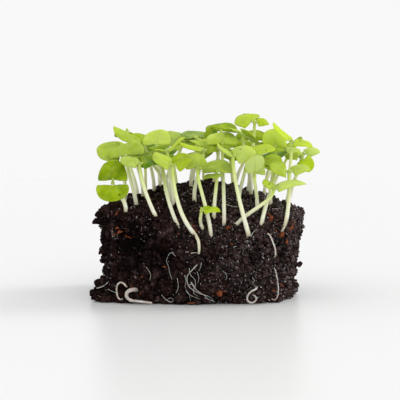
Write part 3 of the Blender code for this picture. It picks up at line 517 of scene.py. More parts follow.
def bed_plants():
    """The rest of the bed: one seedling in each free cell of a jittered grid."""
    draw = random.Random(SEED)
    feet = [spec.foot for spec in FRONT_PLANTS]
    plants = []
    rows = int((BED_HALF[1] - BED_FRONT) / GRID_PITCH) + 1
    columns = int(2 * BED_HALF[0] / GRID_PITCH) + 1
    for row in range(rows):
        for column in range(columns):
            x = -BED_HALF[0] + (column + 0.5 * (row % 2)) * GRID_PITCH
            x += draw.uniform(-BED_JITTER, BED_JITTER)
            y = BED_HALF[1] - row * GRID_PITCH + draw.uniform(-BED_JITTER, BED_JITTER)
            turn = draw.uniform(35, 145)
            lean = (draw.uniform(-BED_LEAN, BED_LEAN), draw.uniform(-BED_LEAN, BED_LEAN))
            drift = (draw.uniform(-1, 1) * HEAD_DRIFT, draw.uniform(-1, 1) * HEAD_DRIFT)
            lift = draw.uniform(-1, 1) * HEAD_SPREAD
            pair = tuple(
                leaf(turn + flip + draw.uniform(-12, 12), draw.uniform(2, 30) + BED_TILT[flip],
                     draw.uniform(-24, 24), draw.uniform(9.6, 12.0), draw.uniform(6.8, 8.6),
                     draw.uniform(-1.0, 0.2), draw.uniform(0.2, 1.4))
                for flip in (0, 180))
            if abs(x) > BED_HALF[0] or any(
                    math.hypot(x - foot[0], y - foot[1]) < FOOT_SPACING for foot in feet):
                continue
            rise = HEAD_RISE["height"] * bell(x - HEAD_RISE["middle"], HEAD_RISE["reach"])
            head = (x * HEAD_FAN + drift[0], y * HEAD_FAN + drift[1], HEAD_HEIGHT + rise + lift)
            feet.append((x, y))
            plants.append(plant(f"bed_{len(plants) + 1:02d}", (x, y), lean, head, *pair))
    return plants


def rough_box(spec):
    """The box that a seedling's plain solid would fill, to tell which of its tries grew."""
    points = [(point, STEM_FOOT_RADIUS * spec.girth * 0.9)
              for point in stem_line(spec, STEM_POINTS - 1)]
    for blade in spec.leaves:
        axes = leaf_axes(blade)
        points += [(leaf_point(blade, axes, spec.head, u, v), LEAF_THICKNESS / 3)
                   for v in (-1.0, 0.0, 1.0) for u in (-1.0, -0.5, 0.0, 0.5, 1.0)]
    low = [min(point[i] - wide for point, wide in points) for i in range(3)]
    high = [max(point[i] + wide for point, wide in points) for i in range(3)]
    return low, high


def mismatch(spec, low, high):
    """How far, at most, the seedling's box is from a solid's box, in millimetres."""
    rough_low, rough_high = rough_box(spec)
    gaps = [abs(rough_low[i] - low[i]) for i in (0, 1)]
    gaps += [abs(rough_high[i] - high[i]) for i in range(3)]
    return max(gaps)


def plants_as_grown():
    """Each solid seedling's own numbers: the try of each plant that fills its node's box."""
    specs = FRONT_PLANTS + bed_plants()
    index, number, grown = 0, 1, []
    while index < len(specs) and f"seedling_{number:02d}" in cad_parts:
        node = f"seedling_{number:02d}"
        low, high = (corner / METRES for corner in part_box(node))
        tries = [nudged(specs[index], index, attempt) for attempt in range(TRIES)]
        best = min(tries, key=lambda spec: mismatch(spec, low, high))
        if mismatch(best, low, high) < MATCH_LIMIT:
            grown.append((node, best))
            number += 1
        index += 1
    if len(grown) != sum(name.startswith("seedling_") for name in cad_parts):
        raise ValueError("a seedling node was not matched to its plant")
    return grown


def new_object(name, data, materials=()):
    """Put a mesh, curve, light or camera in the scene as an object."""
    obj = bpy.data.objects.new(name, data)
    bpy.context.scene.collection.objects.link(obj)
    for material in materials:
        data.materials.append(material)
    return obj


def as_mesh(name, bm):
    mesh = bpy.data.meshes.new(name)
    bm.to_mesh(mesh)
    bm.free()
    return mesh


def finish_piece(obj, slot, *nodes):
    """Scale a finished piece from millimetres to metres, shade it smooth, hang it under the root body
    and hide its solids.
    """
    obj.data.transform(Matrix.Scale(METRES, 4))
    obj.data.shade_smooth()
    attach(obj, "root")
    if nodes:
        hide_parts(*nodes)
    return obj


def tubes_mesh(name, runs, resolution=4):
    """One mesh of closed tubes: each run is a list of points and a list of their radii."""
    curve = bpy.data.curves.new(name, "CURVE")
    curve.dimensions = "3D"
    curve.bevel_depth = 1.0
    curve.bevel_resolution = resolution
    curve.use_fill_caps = True
    for points, radii in runs:
        spline = curve.splines.new("POLY")
        spline.points.add(len(points) - 1)
        for bead, point, radius in zip(spline.points, points, radii):
            bead.co = (*point, 1.0)
            bead.radius = radius
    guide = new_object(name, curve)
    depsgraph = bpy.context.evaluated_depsgraph_get()
    mesh = bpy.data.meshes.new_from_object(guide.evaluated_get(depsgraph))
    bpy.data.objects.remove(guide, do_unlink=True)
    bpy.data.curves.remove(curve)
    return mesh


def smooth_run(points, steps):
    """A smooth curve through the points: each stretch pulled along its neighbours' line."""
    points = [Vector(point) for point in points]
    run = []
    for i in range(len(points) - 1):
        before = points[max(0, i - 1)]
        after = points[min(len(points) - 1, i + 2)]
        start_pull = (points[i + 1] - before) / 2.0
        end_pull = (after - points[i]) / 2.0
        for step in range(steps):
            run.append(hermite(points[i], start_pull, points[i + 1], end_pull, step / steps))
    return run + [points[-1]]


class Finish:
    """A material in the making: a Principled shader and short calls for its nodes.

    A value is a number, a colour or another node's output. An entry is named with
    underscores for its spaces.
    """

    def __init__(self, name):
        self.material = bpy.data.materials.new(name)
        self.material.use_nodes = True
        self.nodes = self.material.node_tree.nodes
        self.shader = self.nodes["Principled BSDF"]

    def feed(self, entry, value):
        if isinstance(value, bpy.types.NodeSocket):
            self.material.node_tree.links.new(value, entry)
        else:
            entry.default_value = (*value, 1.0) if entry.type == "RGBA" else value

    def add(self, kind, **values):
        node = self.nodes.new(kind)
        for name, value in values.items():
            entry = name.replace("_", " ")
            if entry in node.inputs:
                self.feed(node.inputs[entry], value)
            else:
                setattr(node, name, value)
        return node

    def set(self, **values):
        for name, value in values.items():
            self.feed(self.shader.inputs[name.replace("_", " ")], value)

    def place(self):
        return self.add("ShaderNodeTexCoord").outputs["Object"]

    def noise(self, scale, detail=3.0):
        node = self.add("ShaderNodeTexNoise", Scale=scale, Detail=detail, Vector=self.place())
        return node.outputs["Fac"]

    def attribute(self, name):
        return self.add("ShaderNodeAttribute", attribute_name=name).outputs["Fac"]

    def ramp(self, value, stops):
        node = self.add("ShaderNodeValToRGB", Fac=value)
        elements = node.color_ramp.elements
        while len(elements) < len(stops):
            elements.new(0.5)
        for element, (place, colour) in zip(elements, stops):
            element.position = place
            element.color = (*colour, 1.0)
        return node.outputs["Color"]

    def mix(self, factor, first, second):
        node = self.add("ShaderNodeMix", data_type="RGBA")
        for number, value in ((0, factor), (6, first), (7, second)):
            self.feed(node.inputs[number], value)
        return node.outputs[2]

    def math(self, operation, first, second):
        node = self.add("ShaderNodeMath", operation=operation)
        self.feed(node.inputs[0], first)
        self.feed(node.inputs[1], second)
        return node.outputs[0]

    def band(self, value, low, high, to_low=0.0, to_high=1.0):
        node = self.add("ShaderNodeMapRange", Value=value, From_Min=low, From_Max=high,
                        To_Min=to_low, To_Max=to_high)
        return node.outputs["Result"]

    def cloud(self, scale, detail, *ends):
        """A noise of that scale and detail, stretched from its low and high ends."""
        return self.band(self.noise(scale, detail), *ends)

    def bump(self, height, distance, strength, under=None):
        node = self.add("ShaderNodeBump", Strength=strength, Distance=distance, Height=height)
        if under:
            self.feed(node.inputs["Normal"], under)
        return node.outputs["Normal"]


def leaf_finish():
    """Satin green with paler veins; each leaf's depth is partly its own green and partly painted light
    and shade, and a painted pale sheen is mixed in.
    """
    finish = Finish("seed_leaf")
    vein = finish.attribute("vein")
    depth = finish.math("ADD", finish.attribute("tone"),
                        finish.cloud(260.0, 4.0, 0.3, 0.7, -0.20, 0.20))
    depth = finish.math("ADD", depth, finish.math("MULTIPLY", vein, 0.12))
    painted_sheen = finish.math("ADD", finish.attribute("painted_sheen"),
                        finish.cloud(420.0, 3.0, 0.35, 0.65, -0.12, 0.12))
    # Painted sheen: the leaf's green is mixed towards a pale colour, by leaf and with a little mottle.
    colour = finish.mix(finish.band(painted_sheen, 0.0, 1.0, 0.0, 0.70),
                        finish.ramp(depth, LEAF_STOPS), LEAF_PAINTED_SHEEN)
    rim = finish.band(finish.attribute("rim"), 0.88, 1.0, 0.0, 0.22)
    fine = finish.bump(finish.noise(2400.0, 2.0), 0.00005, 0.5)
    finish.set(Base_Color=finish.mix(rim, colour, LEAF_EDGE),
               Roughness=finish.cloud(900.0, 3.0, 0.3, 0.7, 0.42, 0.60),
               Specular_IOR_Level=0.05, Subsurface_Weight=0.35, Subsurface_Scale=0.0016,
               Subsurface_Radius=(0.8, 1.0, 0.12), Normal=finish.bump(vein, 0.00012, 0.6, fine))
    return finish.material


def stem_finish():
    """Pale, watery stem: nearly white at the foot, yellow-green under the leaves."""
    finish = Finish("seedling_stem")
    height = finish.math("ADD", finish.attribute("rise"),
                         finish.cloud(700.0, 2.0, 0.3, 0.7, -0.06, 0.06))
    finish.set(Base_Color=finish.ramp(height, STEM_STOPS), Roughness=0.34,
               Specular_IOR_Level=0.4, Subsurface_Weight=0.5, Subsurface_Scale=0.0022,
               Subsurface_Radius=(1.0, 0.9, 0.5),
               Normal=finish.bump(finish.noise(1600.0, 2.0), 0.00006, 0.4))
    return finish.material


def soil_finish():
    """Damp peat, brown on its grains, with painted shade black in its clefts, painted light towards
    the right, and wetter there.
    """
    finish = Finish("damp_soil")
    grain = finish.noise(850.0, 4.0)
    across = finish.add("ShaderNodeSeparateXYZ", Vector=finish.place()).outputs["X"]
    tone = finish.math("ADD", finish.attribute("tone"), finish.band(grain, 0.3, 0.7, -0.3, 0.3))
    # Painted light: the soil's colour is made lighter towards the right, where the light falls.
    tone = finish.math("ADD", tone, finish.band(across, -0.020, 0.025, 0.09, 0.27))
    warm = finish.cloud(90.0, 3.0, 0.52, 0.70, 0.0, 0.4)
    drift = finish.cloud(60.0, 2.0, 0.3, 0.7, -0.012, 0.012)
    right = finish.band(finish.math("ADD", across, drift), -0.020, 0.018)
    wet = finish.math("MULTIPLY", right, finish.cloud(1300.0, 2.0, 0.50, 0.64))
    rough = finish.bump(finish.noise(2600.0, 3.0), 0.00022, 0.8)
    finish.set(Base_Color=finish.mix(warm, finish.ramp(tone, SOIL_STOPS), SOIL_WARM),
               Roughness=finish.band(wet, 0.0, 1.0, 0.90, 0.24),
               Specular_IOR_Level=finish.band(wet, 0.0, 1.0, 0.02, 0.60),
               Normal=finish.bump(grain, 0.0005, 0.9, rough))
    return finish.material


def plain_finish(name, low, high, scale, roughness, specular=0.4, subsurface=0.0):
    """A matt natural finish whose colour drifts between two tones."""
    finish = Finish(name)
    finish.set(Base_Color=finish.mix(finish.cloud(scale, 3.0, 0.3, 0.7), low, high),
               Roughness=roughness, Specular_IOR_Level=specular,
               Normal=finish.bump(finish.noise(scale * 2.5, 2.0), 0.0001, 0.5))
    if subsurface:
        finish.set(Subsurface_Weight=subsurface, Subsurface_Scale=0.0012)
    return finish.material


def vein_strength(x, down):
    """How near a point of the blade is to its rib or to one of its side veins."""
    strength = 0.0
    for slope, weight in VEINS:
        line = slope * math.sin(down * math.pi * 0.62)
        width = 0.035 + 0.02 * (1.0 - down)
        strength = max(strength, weight * bell(x - line, width) * smoothstep(1.15 - down))
    return strength


def blade_normal(spec, axes, head, u, v, middle):
    """Which way the upper face of a blade looks at a point of its unit square."""
    back_u, back_v = (1 if u < 0 else -1), (1 if v < 0 else -1)
    run_u = (leaf_point(spec, axes, head, u + BLADE_STEP * back_u, v) - middle) * back_u
    run_v = (leaf_point(spec, axes, head, u, v + BLADE_STEP * back_v) - middle) * back_v
    normal = run_u.cross(run_v).normalized()
    return -normal if normal.dot(axes[2]) < 0 else normal


def add_blade(bm, spec, head, tone, painted_sheen, layers):
    """One seed leaf: a divided square given a wall, then laid on the half-moon."""
    made = bmesh.ops.create_grid(bm, x_segments=BLADE_COLUMNS, y_segments=BLADE_ROWS, size=1.0)
    faces = list({face for vert in made["verts"] for face in vert.link_faces})
    walled = bmesh.ops.solidify(bm, geom=faces, thickness=BLADE_WALL)
    faces += [item for item in walled["geom"] if isinstance(item, bmesh.types.BMFace)]
    verts = {vert for face in faces for vert in face.verts}
    axes = leaf_axes(spec)
    for face in {face for vert in verts for face in vert.link_faces}:
        face.material_index = 1
        for loop in face.loops:
            x, down, _, _ = blade_place(spec, loop.vert.co.x, loop.vert.co.y)
            loop[layers["uv"]].uv = (x / 2.0 + 0.5, down)
    for vert in verts:
        u, v, deep = vert.co
        x, down, _, _ = blade_place(spec, u, v)
        middle = leaf_point(spec, axes, head, u, v)
        normal = blade_normal(spec, axes, head, u, v, middle)
        vein = vein_strength(x, down)
        edge = max(abs(u), abs(v))
        thick = BLADE_RIM + (BLADE_MIDDLE - BLADE_RIM) * math.sqrt(max(0.0, 1.0 - edge ** 6))
        ripple = BLADE_RIPPLE * noise.noise(middle * 0.55)
        if abs(deep) < BLADE_WALL / 2.0:
            vert.co = middle + normal * (thick / 2.0 - VEIN_DEPTH * vein + ripple)
            vert[layers["tone"]] = tone
            vert[layers["painted_sheen"]] = painted_sheen
        else:
            vert.co = middle - normal * (thick / 2.0 + 0.5 * VEIN_DEPTH * vein - ripple)
            vert[layers["tone"]] = min(1.0, tone + UNDER_PALER["tone"])
            vert[layers["painted_sheen"]] = min(1.0, painted_sheen + UNDER_PALER["painted_sheen"])
        vert[layers["vein"]] = vein
        vert[layers["rim"]] = edge
    bmesh.ops.recalc_face_normals(bm, faces=faces)


def stalk_run(spec, head):
    """A leaf's stalk: out of the stem's top, then on as the rib under the blade."""
    axes = leaf_axes(spec)
    points, radii = [], []
    for step in range(STALK_RINGS):
        share = step / (STALK_RINGS - 1)
        reach = share * (spec.stalk + STALK_REACH * spec.length)
        if reach < spec.stalk:
            point = Vector(head) + axes[0] * reach
            radius = 0.56 - 0.10 * reach / spec.stalk
            sag = 0.0
        else:
            down = (reach - spec.stalk) / spec.length
            v = -1.0 + down / LEAF_NEAR if down < LEAF_NEAR else (
                (down - LEAF_NEAR) / (1.0 - LEAF_NEAR))
            point = leaf_point(spec, axes, head, 0.0, v)
            radius = 0.46 * (1.0 - down / STALK_REACH) + 0.08
            sag = 0.30 * smoothstep(down / 0.12)
        points.append(point - axes[2] * sag)
        radii.append(radius)
    return points, radii


def stem_radii(spec, below):
    """The stem's radius at each ring: thick at its foot, with a swelling under the leaves."""
    foot = STEM_FOOT_RADIUS * spec.girth
    neck = STEM_NECK_RADIUS * min(1.0, spec.girth)
    radii = []
    for step in range(STEM_RINGS + 1):
        share = step / STEM_RINGS
        swell = (CROWN_RADIUS - neck) * 0.75 * bell(share - 1.0, 0.035)
        radii.append(foot + (neck - foot) * share + swell)
    tail = [foot * (0.45 + 0.5 * step / below) for step in range(below)] if spec.tail else [foot]
    return tail + radii


def make_plant(node, spec, stem_look, leaf_look):
    """One seedling: stem, stalks, ribs and the growing tip as tubes, and two fine blades."""
    line = stem_line(spec, STEM_RINGS)
    if spec.tail:
        joint = len(line) - STEM_RINGS + 2
        line = smooth_run(line[:joint], 6) + line[joint:]
    draw = random.Random(node)
    radii = [radius * (1.0 + draw.uniform(-0.03, 0.03))
             for radius in stem_radii(spec, len(line) - STEM_RINGS - 1)]
    head = Vector(spec.head)
    runs = [(line + [head + Vector((0, 0, CROWN_HEIGHT * 0.6))], radii + [CROWN_RADIUS * 0.45])]
    runs += [stalk_run(blade, spec.head) for blade in spec.leaves]
    tip = Vector((draw.uniform(-0.2, 0.2), draw.uniform(-0.2, 0.2), 1.0))
    runs.append(([head + tip * reach for reach in (0.2, 0.6, 1.0, 1.3)], [0.3, 0.42, 0.3, 0.08]))
    mesh = tubes_mesh(node, runs)
    bm = bmesh.new()
    bm.from_mesh(mesh)
    bmesh.ops.remove_doubles(bm, verts=bm.verts[:], dist=0.0001)
    bmesh.ops.recalc_face_normals(bm, faces=bm.faces[:])
    layers = {name: bm.verts.layers.float.new(name)
              for name in ("tone", "painted_sheen", "vein", "rim", "rise")}
    layers["uv"] = bm.loops.layers.uv.new("UVMap")
    foot_height, top = soil_height(*spec.foot), spec.head[2]
    for vert in bm.verts:
        vert[layers["rise"]] = (vert.co.z - foot_height) / (top - foot_height)
    # Bed leaves: tone and painted sheen drawn at random; the low tones reach the painted shade of the
    # darkest stop.
    tones = LEAF_TONES.get(spec.name) or [
        (draw.uniform(-0.10, 0.75), draw.uniform(0.0, 0.35)) for _ in spec.leaves]
    for blade, (tone, painted_sheen) in zip(spec.leaves, tones):
        add_blade(bm, blade, spec.head, tone, painted_sheen, layers)
    bm.to_mesh(mesh)
    bm.free()
    plant_piece = new_object("basil_" + node[-2:], mesh, (stem_look, leaf_look))
    return finish_piece(plant_piece, PLANT_SLOT, node)


def make_soil(material, root_lines):
    """The block, finely divided, heaped with grains and pressed in behind each root."""
    bm = bmesh.new()
    bmesh.ops.create_cube(bm, size=2.0)
    bmesh.ops.subdivide_edges(
        bm, edges=bm.edges[:], cuts=SOIL_DIVISIONS - 1, use_grid_fill=True)
    tone = bm.verts.layers.float.new("tone")
    for vert in bm.verts:
        u, v, w = vert.co
        outward = Vector((u, v, 0.0)) if max(abs(u), abs(v)) > 0.999 else Vector()
        if w > 0.999:
            outward.z = 1.0
        if outward.length:
            outward.normalize()
        vert.co, proud = crumble(worn_point(u, v, w), outward)
        # Painted shade: the tone is darker in the clefts and hollows and lighter on the proud grains.
        vert[tone] = 0.42 + 0.30 * proud
        if w < -0.999 or vert.co.z < 0.0:
            vert.co.z = 0.0
    press_behind(bm, root_lines)
    under = [face for face in bm.faces if all(vert.co.z < 1e-6 for vert in face.verts)]
    bmesh.ops.dissolve_faces(bm, faces=under, use_verts=True)
    bmesh.ops.recalc_face_normals(bm, faces=bm.faces[:])
    return new_object("soil", as_mesh("soil", bm), (material,))


def press_behind(bm, root_lines):
    """Move the front face back wherever it would cover a root that lies on it."""
    front = [vert for vert in bm.verts if vert.co.y < -25.0]
    for line in root_lines:
        for point in line:
            if point.y > face_y(point.x, point.z) + 0.2:
                continue
            for vert in front:
                near = abs(vert.co.x - point.x) < 0.9 and abs(vert.co.z - point.z) < 0.9
                if near and vert.co.y < point.y + 0.2:
                    vert.co.y = point.y + 0.2


def surface_tree(obj):
    return BVHTree.FromPolygons([vert.co for vert in obj.data.vertices],
                                [face.vertices for face in obj.data.polygons])


def met(tree, a, b, way="front"):
    """Where the block is met, from the front at (x, z) or from above at (x, y), if at all."""
    if way == "front":
        return tree.ray_cast(Vector((a, -FAR, b)), Vector((0, 1, 0)))[:2]
    return tree.ray_cast(Vector((a, b, HIGH)), Vector((0, 0, -1)))[:2]


def scatter_points(tree, count, draw):
    """Seeded points all over the block's top and sides, each with its outward normal."""
    found = []
    while len(found) < count:
        if draw.random() < TOP_SHARE:
            start = Vector((draw.uniform(-39, 39), draw.uniform(-36, 36), HIGH))
            aim = Vector((0, 0, -1))
        else:
            turn = draw.uniform(0, math.tau)
            aim = Vector((-math.cos(turn), -math.sin(turn), 0.0))
            start = Vector((-aim.x * FAR, -aim.y * FAR, draw.uniform(0.3, 40.0)))
            start += Vector((aim.y, -aim.x, 0.0)) * draw.uniform(-30, 30)
        place, normal, _, _ = tree.ray_cast(start, aim)
        if place is None:
            continue
        if normal.dot(aim) > 0:
            normal = -normal
        found.append((place, normal))
    return found


def any_way(draw):
    return Vector((draw.uniform(-1, 1), draw.uniform(-1, 1), draw.uniform(-1, 1)))


def any_turn(draw):
    return Matrix.Rotation(draw.uniform(0, math.tau), 4, any_way(draw).normalized())


def slant_turn(draw):
    """Most painted glints run from the upper left down to the right."""
    return Matrix.Rotation(math.radians(draw.gauss(55.0, 22.0)), 4, "Y")


def lump_bed():
    """An empty bmesh whose lumps carry a tone."""
    bm = bmesh.new()
    bm.verts.layers.float.new("tone")
    return bm


def lump(bm, place, size, draw, detail, ragged, shade, turn=None):
    """One crumb: a small ball, squashed, turned, dented, toned and kept off the floor."""
    turn = turn or any_turn(draw)
    squash = Matrix.Diagonal((size[0], size[1], size[2], 1.0))
    made = bmesh.ops.create_icosphere(
        bm, subdivisions=detail, radius=1.0,
        matrix=Matrix.Translation(place) @ turn @ squash)
    shift = Vector((draw.uniform(0, 99), draw.uniform(0, 99), 0.0))
    mean = sum(size) / 3.0
    tone = bm.verts.layers.float["tone"]
    for vert in made["verts"]:
        vert.co += noise.noise_vector(vert.co / mean * 0.9 + shift) * mean * ragged
        vert.co.z = max(vert.co.z, FLOOR_GAP)
        vert[tone] = shade


def gathered(name, batches, material):
    """Join batches of small shapes into one piece."""
    whole = bmesh.new()
    for batch in batches:
        mesh = as_mesh("batch", batch)
        whole.from_mesh(mesh)
        bpy.data.meshes.remove(mesh)
    return new_object(name, as_mesh(name, whole), (material,))


def lined_up(lines):
    """A search tree of every point of the lines, to keep lumps off them."""
    points = [point for line in lines for point in line]
    tree = kdtree.KDTree(len(points))
    for number, point in enumerate(points):
        tree.insert(point, number)
    tree.balance()
    return tree


def hollow_share(place):
    """How deep in a hollow of the block a place is, from 0 to 1."""
    return max(bell((place - Vector(centre)).length, reach) for centre, reach, _ in HOLLOWS)


def make_lumps(name, spots, size_of, seed, material, keep_off, detail=1, ragged=0.5, sink=0.2,
               turned=any_turn, spread=0.22):
    """A piece made of many small lumps, each with its own tone, darker in hollows as painted shade,
    half sunk in the surface.
    """
    draw = random.Random(seed)
    batches = []
    for number, (place, normal) in enumerate(spots):
        if number % BATCH == 0:
            batches.append(lump_bed())
        size = size_of(draw)
        reach = max(size) * (1.0 + 0.3 * ragged)
        place = place - normal * max(size) * sink
        place.z = max(place.z, reach)
        if keep_off.find(place)[2] < reach + ROOT_GAP:
            continue
        # Painted shade: lumps in the block's hollows are toned darker.
        shade = draw.gauss(CRUMB_TONE, spread) - HOLLOW_SHADE * hollow_share(place)
        lump(batches[-1], place, size, draw, detail, ragged, shade, turned(draw))
    return gathered(name, batches, material)


def crumb_size(draw):
    mean = 0.30 + 0.62 * draw.random() ** 3
    return [mean * draw.uniform(0.7, 1.3) for _ in range(3)]


def clod_size(draw):
    mean = 0.70 + 0.85 * draw.random() ** 2
    return [mean * draw.uniform(0.75, 1.25) for _ in range(3)]


def bark_size(draw):
    length = draw.uniform(0.5, 1.2)
    return [length, length * draw.uniform(0.3, 0.5), length * draw.uniform(0.15, 0.3)]


def glint_size(draw):
    wide = 0.09 + 0.13 * draw.random() ** 2
    return [wide * draw.uniform(1.2, 3.4), wide, wide]


def glint_spots(tree):
    """Painted highlights: many on the lit right of the front, few on the left, some all round, fewer
    in hollows.
    """
    draw = random.Random(GLINT_SEED)
    kept = []
    for place, normal in scatter_points(tree, GLINT_COUNT, draw):
        share = 0.08 + 0.92 * smoothstep((place.x + 16.0) / 30.0)
        if place.z > 22.0:
            share = max(share, 0.45)
        if normal.y > -0.3:
            share = 0.30
        share *= 1.0 - hollow_share(place)
        if draw.random() < share:
            kept.append((place, normal))
    return kept


def bark_spots(tree):
    """Bark: little heaps of it on the front, set one by one, and single bits all round."""
    draw = random.Random(BARK_SEED)
    spots = []
    for x, z, spread, count in BARK_SPOTS:
        for _ in range(count):
            place, normal = met(tree, draw.gauss(x, spread), max(0.6, draw.gauss(z, spread * 0.7)))
            if place is not None:
                spots.append((place, normal if normal.y < 0 else -normal))
    return spots + scatter_points(tree, WILD_BARK, draw)


def make_chips(tree, material):
    """The larger chips of bark that lie flat on the front, set one by one."""
    draw = random.Random(BARK_SEED + 1)
    chips = lump_bed()
    for x, z, long, wide, tilt in BARK_CHIPS:
        turn = Matrix.Rotation(math.radians(-tilt), 4, "Y")
        spot = met(tree, x, z)[0] - Vector((0.0, CHIP_PROUD, 0.0))
        lump(chips, spot, (long, CHIP_DEPTH, wide), draw, 2, 0.25, CRUMB_TONE, turn)
    return gathered("bark_chips", [chips], material)


def make_chunks(tree, material):
    """The chunks that stand out at the sides of the block, set one by one."""
    draw = random.Random(CLOD_SEED)
    chunks = lump_bed()
    for aim, size in SIDE_CHUNKS:
        place = tree.find_nearest(Vector(aim))[0]
        outward = Vector((aim[0], 0.0, 0.0)).normalized()
        lump(chunks, place + outward * size[0] * 0.35, size, draw, 3, 0.45, 0.35)
    return gathered("side_chunks", [chunks], material)


def make_heaps(plants, material):
    """Crumbs heaped round the foot of each stem."""
    draw = random.Random(CRUMB_SEED + 9)
    heaps = lump_bed()
    for _, spec in plants:
        x, y = spec.foot
        for _ in range(HEAP_CRUMBS):
            turn, away = draw.uniform(0, math.tau), draw.uniform(1.1, 2.2)
            place = Vector((x + math.cos(turn) * away, y + math.sin(turn) * away, 0.0))
            place.z = soil_height(place.x, place.y) + draw.uniform(-0.9, 0.1)
            size = [draw.uniform(0.4, 0.85) for _ in range(3)]
            lump(heaps, place, size, draw, 1, 0.5, 0.45)
    return gathered("foot_heaps", [heaps], material)


def make_loose(tree, plants, soil_look, bark_look, glint_look, keep_off):
    """Everything loose on the block: crumbs, clods, chunks, heaps, bark, and pale lumps painted as
    glints.
    """
    crumbs = scatter_points(tree, CRUMB_COUNT, random.Random(CRUMB_SEED))
    clods = scatter_points(tree, CLOD_COUNT, random.Random(CLOD_SEED))
    pieces = [
        make_lumps("soil_crumbs", crumbs, crumb_size, CRUMB_SEED, soil_look, keep_off),
        make_lumps("soil_clods", clods, clod_size, CLOD_SEED, soil_look, keep_off,
                   detail=2, sink=0.5, ragged=0.7, spread=0.10),
        make_lumps("bark_bits", bark_spots(tree), bark_size, BARK_SEED, bark_look, keep_off,
                   ragged=0.3, sink=-0.1),
        # Painted highlights: pale lumps that stand in for glints of light on the wet soil.
        make_lumps("painted_glints", glint_spots(tree), glint_size, GLINT_SEED, glint_look, keep_off,
                   ragged=0.15, sink=-0.9, turned=slant_turn),
    ]
    pieces += [make_chunks(tree, soil_look), make_heaps(plants, soil_look),
               make_chips(tree, bark_look)]
    for piece in pieces:
        finish_piece(piece, SOIL_SLOT)


def make_specks(plants, material):
    """A few grains of soil that stick to the leaves."""
    specs = {spec.name: spec for _, spec in plants}
    draw = random.Random(SEED)
    specks = lump_bed()
    for name, number, u, v in SPECKS:
        spec = specs[name]
        blade = spec.leaves[number]
        axes = leaf_axes(blade)
        place = leaf_point(blade, axes, spec.head, u, v)
        toward = (CAMERA_PLACE / METRES - place).normalized()
        lift = axes[2] * (0.25 if axes[2].dot(toward) > 0 else -0.25)
        for _ in range(2):
            spot = place + lift + axes[1] * draw.uniform(-0.4, 0.4)
            size = [draw.uniform(0.14, 0.28) for _ in range(3)]
            lump(specks, spot, size, draw, 1, 0.4, 0.3)
    return finish_piece(gathered("soil_specks", [specks], material), SOIL_SLOT)


def drape(tree, points, way):
    """Lay a line on the block, from the front as (x, z) or from above as (x, y).

    It bridges clefts: each point stands as far out as the farthest of its neighbours.
    """
    aim = Vector((0, 1, 0)) if way == "front" else Vector((0, 0, -1))
    places = [met(tree, a, b, way)[0] for a, b in points]
    laid = [place for place in places if place is not None]
    depths = [place.dot(aim) for place in laid]
    bridged = [min(depths[max(0, i - 3):i + 4]) for i in range(len(laid))]
    eased = [sum(bridged[max(0, i - 2):i + 3]) / len(bridged[max(0, i - 2):i + 3])
             for i in range(len(laid))]
    return [place + aim * (depth - place.dot(aim) - 0.15)
            for place, depth in zip(laid, eased)]


def tapered(thick, count, thin=0.45):
    return [thick * (1.0 - (1.0 - thin) * step / (count - 1)) for step in range(count)]


def laid_threads(tree):
    """The fine roots of the front, laid one by one, each as a line and its radii."""
    runs = []
    for way, lines in THREADS.items():
        for thick, points in lines:
            laid = drape(tree, smooth_run(points, 6), way)
            if len(laid) > 3:
                runs.append((laid, tapered(thick, len(laid))))
    return runs


def wild_threads(tree):
    """Fine roots that wander over the whole block."""
    runs = []
    draw = random.Random(SEED + 5)
    for place, normal in scatter_points(tree, WILD_THREADS, draw):
        heading = normal.cross(Vector((draw.uniform(-1, 1), draw.uniform(-1, 1), -1.4)))
        laid = [place]
        for _ in range(draw.randint(8, 18)):
            heading = heading.normalized() + any_way(draw) * 0.5
            spot = laid[-1] + heading.normalized() * 0.7
            nearest = tree.find_nearest(spot)[0]
            if nearest.z < 0.6:
                break
            laid.append(nearest + (spot - nearest).normalized() * 0.25)
        if len(laid) > 4:
            smooth = smooth_run(laid, 2)
            runs.append((smooth, tapered(draw.uniform(0.07, 0.12), len(smooth))))
    return runs


def root_line(points):
    return smooth_run([(x, face_y(x, z) - out, z) for x, out, z in points], 5)


def make_root(node, thick, thin, line, material):
    """A thick root along its solid's own line, with a few fine hairs."""
    radii = tapered(thick * ROOT_SLIM.get(node, 1.0), len(line), thin / thick)
    draw = random.Random(node)
    runs = [(line, [radius * draw.uniform(0.94, 1.06) for radius in radii])]
    for _ in range(ROOT_HAIRS):
        spot = draw.randrange(3, len(line) - 3)
        reach = Vector((draw.uniform(-1, 1), draw.uniform(-0.4, 0.3), draw.uniform(-0.6, 0.8)))
        start = line[spot]
        hair = [start + reach * share for share in (0.0, 0.5, 0.9, 1.2)]
        if min(point.z for point in hair) > 0.2:
            runs.append((hair, [0.09, 0.06, 0.04, 0.02]))
    piece = new_object("fine_" + node, tubes_mesh(node, runs, 3), (material,))
    return finish_piece(piece, ROOT_SLOT, node)


def make_table():
    """A plain, faintly glossy pale floor that runs far back."""
    bm = bmesh.new()
    bmesh.ops.create_grid(bm, x_segments=2, y_segments=2, size=3.0)
    finish = Finish("pale_floor")
    tint = finish.mix(finish.cloud(3.0, 3.0, 0.3, 0.7), (0.798, 0.798, 0.806),
                      (0.806, 0.806, 0.806))
    finish.set(Base_Color=tint, Roughness=0.35, Specular_IOR_Level=0.25)
    floor = new_object("floor", as_mesh("floor", bm), (finish.material,))
    floor.location.z = -0.0002


def add_sun(name, toward, strength, spread):
    light = bpy.data.lights.new(name, "SUN")
    light.energy = strength
    light.angle = math.radians(spread)
    obj = new_object(name, light)
    obj.rotation_euler = Vector(toward).to_track_quat("-Z", "Y").to_euler()


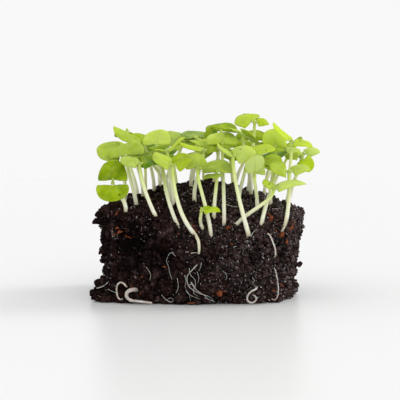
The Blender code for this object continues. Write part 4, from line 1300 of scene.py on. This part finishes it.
def light_scene():
    """A bright, even room, with a soft sun from each side."""
    world = bpy.data.worlds.new("bright_room")
    world.use_nodes = True
    background = world.node_tree.nodes["Background"]
    background.inputs["Color"].default_value = (1.0, 1.0, 1.0, 1.0)
    background.inputs["Strength"].default_value = ROOM_LIGHT
    bpy.context.scene.world = world
    for sun in SUNS:
        add_sun(*sun)
    bpy.context.scene.view_settings.view_transform = "Standard"
    bpy.context.scene.view_settings.look = "None"


def add_camera():
    camera = bpy.data.cameras.new("photo_camera")
    camera.lens = CAMERA_LENS
    camera.sensor_width = CAMERA_SENSOR
    camera.clip_start = 0.01
    obj = new_object("photo_camera", camera)
    obj.location = CAMERA_PLACE
    obj.rotation_euler = (math.radians(90.0 - CAMERA_PITCH), 0.0, 0.0)
    bpy.context.scene.camera = obj


def main():
    noise.seed_set(SEED)
    add_camera()
    light_scene()
    make_table()
    stem_look, leaf_look = stem_finish(), leaf_finish()
    soil_look = soil_finish()
    root_look = plain_finish("root_skin", (0.40, 0.35, 0.31), (0.68, 0.63, 0.58), 500.0,
                             0.5, subsurface=0.3)
    bark_look = plain_finish("bark_chip", (0.080, 0.024, 0.010), (0.33, 0.085, 0.026), 700.0, 0.7,
                             specular=0.15)
    # The glints' paint: a pale grey-pink that stands in for highlights.
    glint_look = plain_finish("painted_glint", (0.035, 0.026, 0.026), (0.50, 0.43, 0.44), 900.0, 0.3,
                             specular=0.35)
    plants = plants_as_grown()
    for node, spec in plants:
        make_plant(node, spec, stem_look, leaf_look)
    make_specks(plants, soil_look)
    roots = {name: (thick, thin, root_line(points))
             for name, (thick, thin, points) in ROOTS.items()}
    lines = [line for _, _, line in roots.values()]
    lines += [smooth_run(list(reversed(spec.tail)) + [
        (*spec.foot, soil_height(*spec.foot))], 5) for _, spec in plants if spec.tail]
    soil = make_soil(soil_look, lines)
    tree = surface_tree(soil)
    finish_piece(soil, SOIL_SLOT, "soil_block")
    laid = laid_threads(tree)
    keep_off = lined_up(lines + [points for points, _ in laid])
    make_loose(tree, plants, soil_look, bark_look, glint_look, keep_off)
    threads = tubes_mesh("root_threads", laid + wild_threads(tree), 1)
    finish_piece(new_object("root_threads", threads, (root_look,)), ROOT_SLOT)
    for name, (thick, thin, line) in roots.items():
        make_root(name, thick, thin, line, root_look)


main()
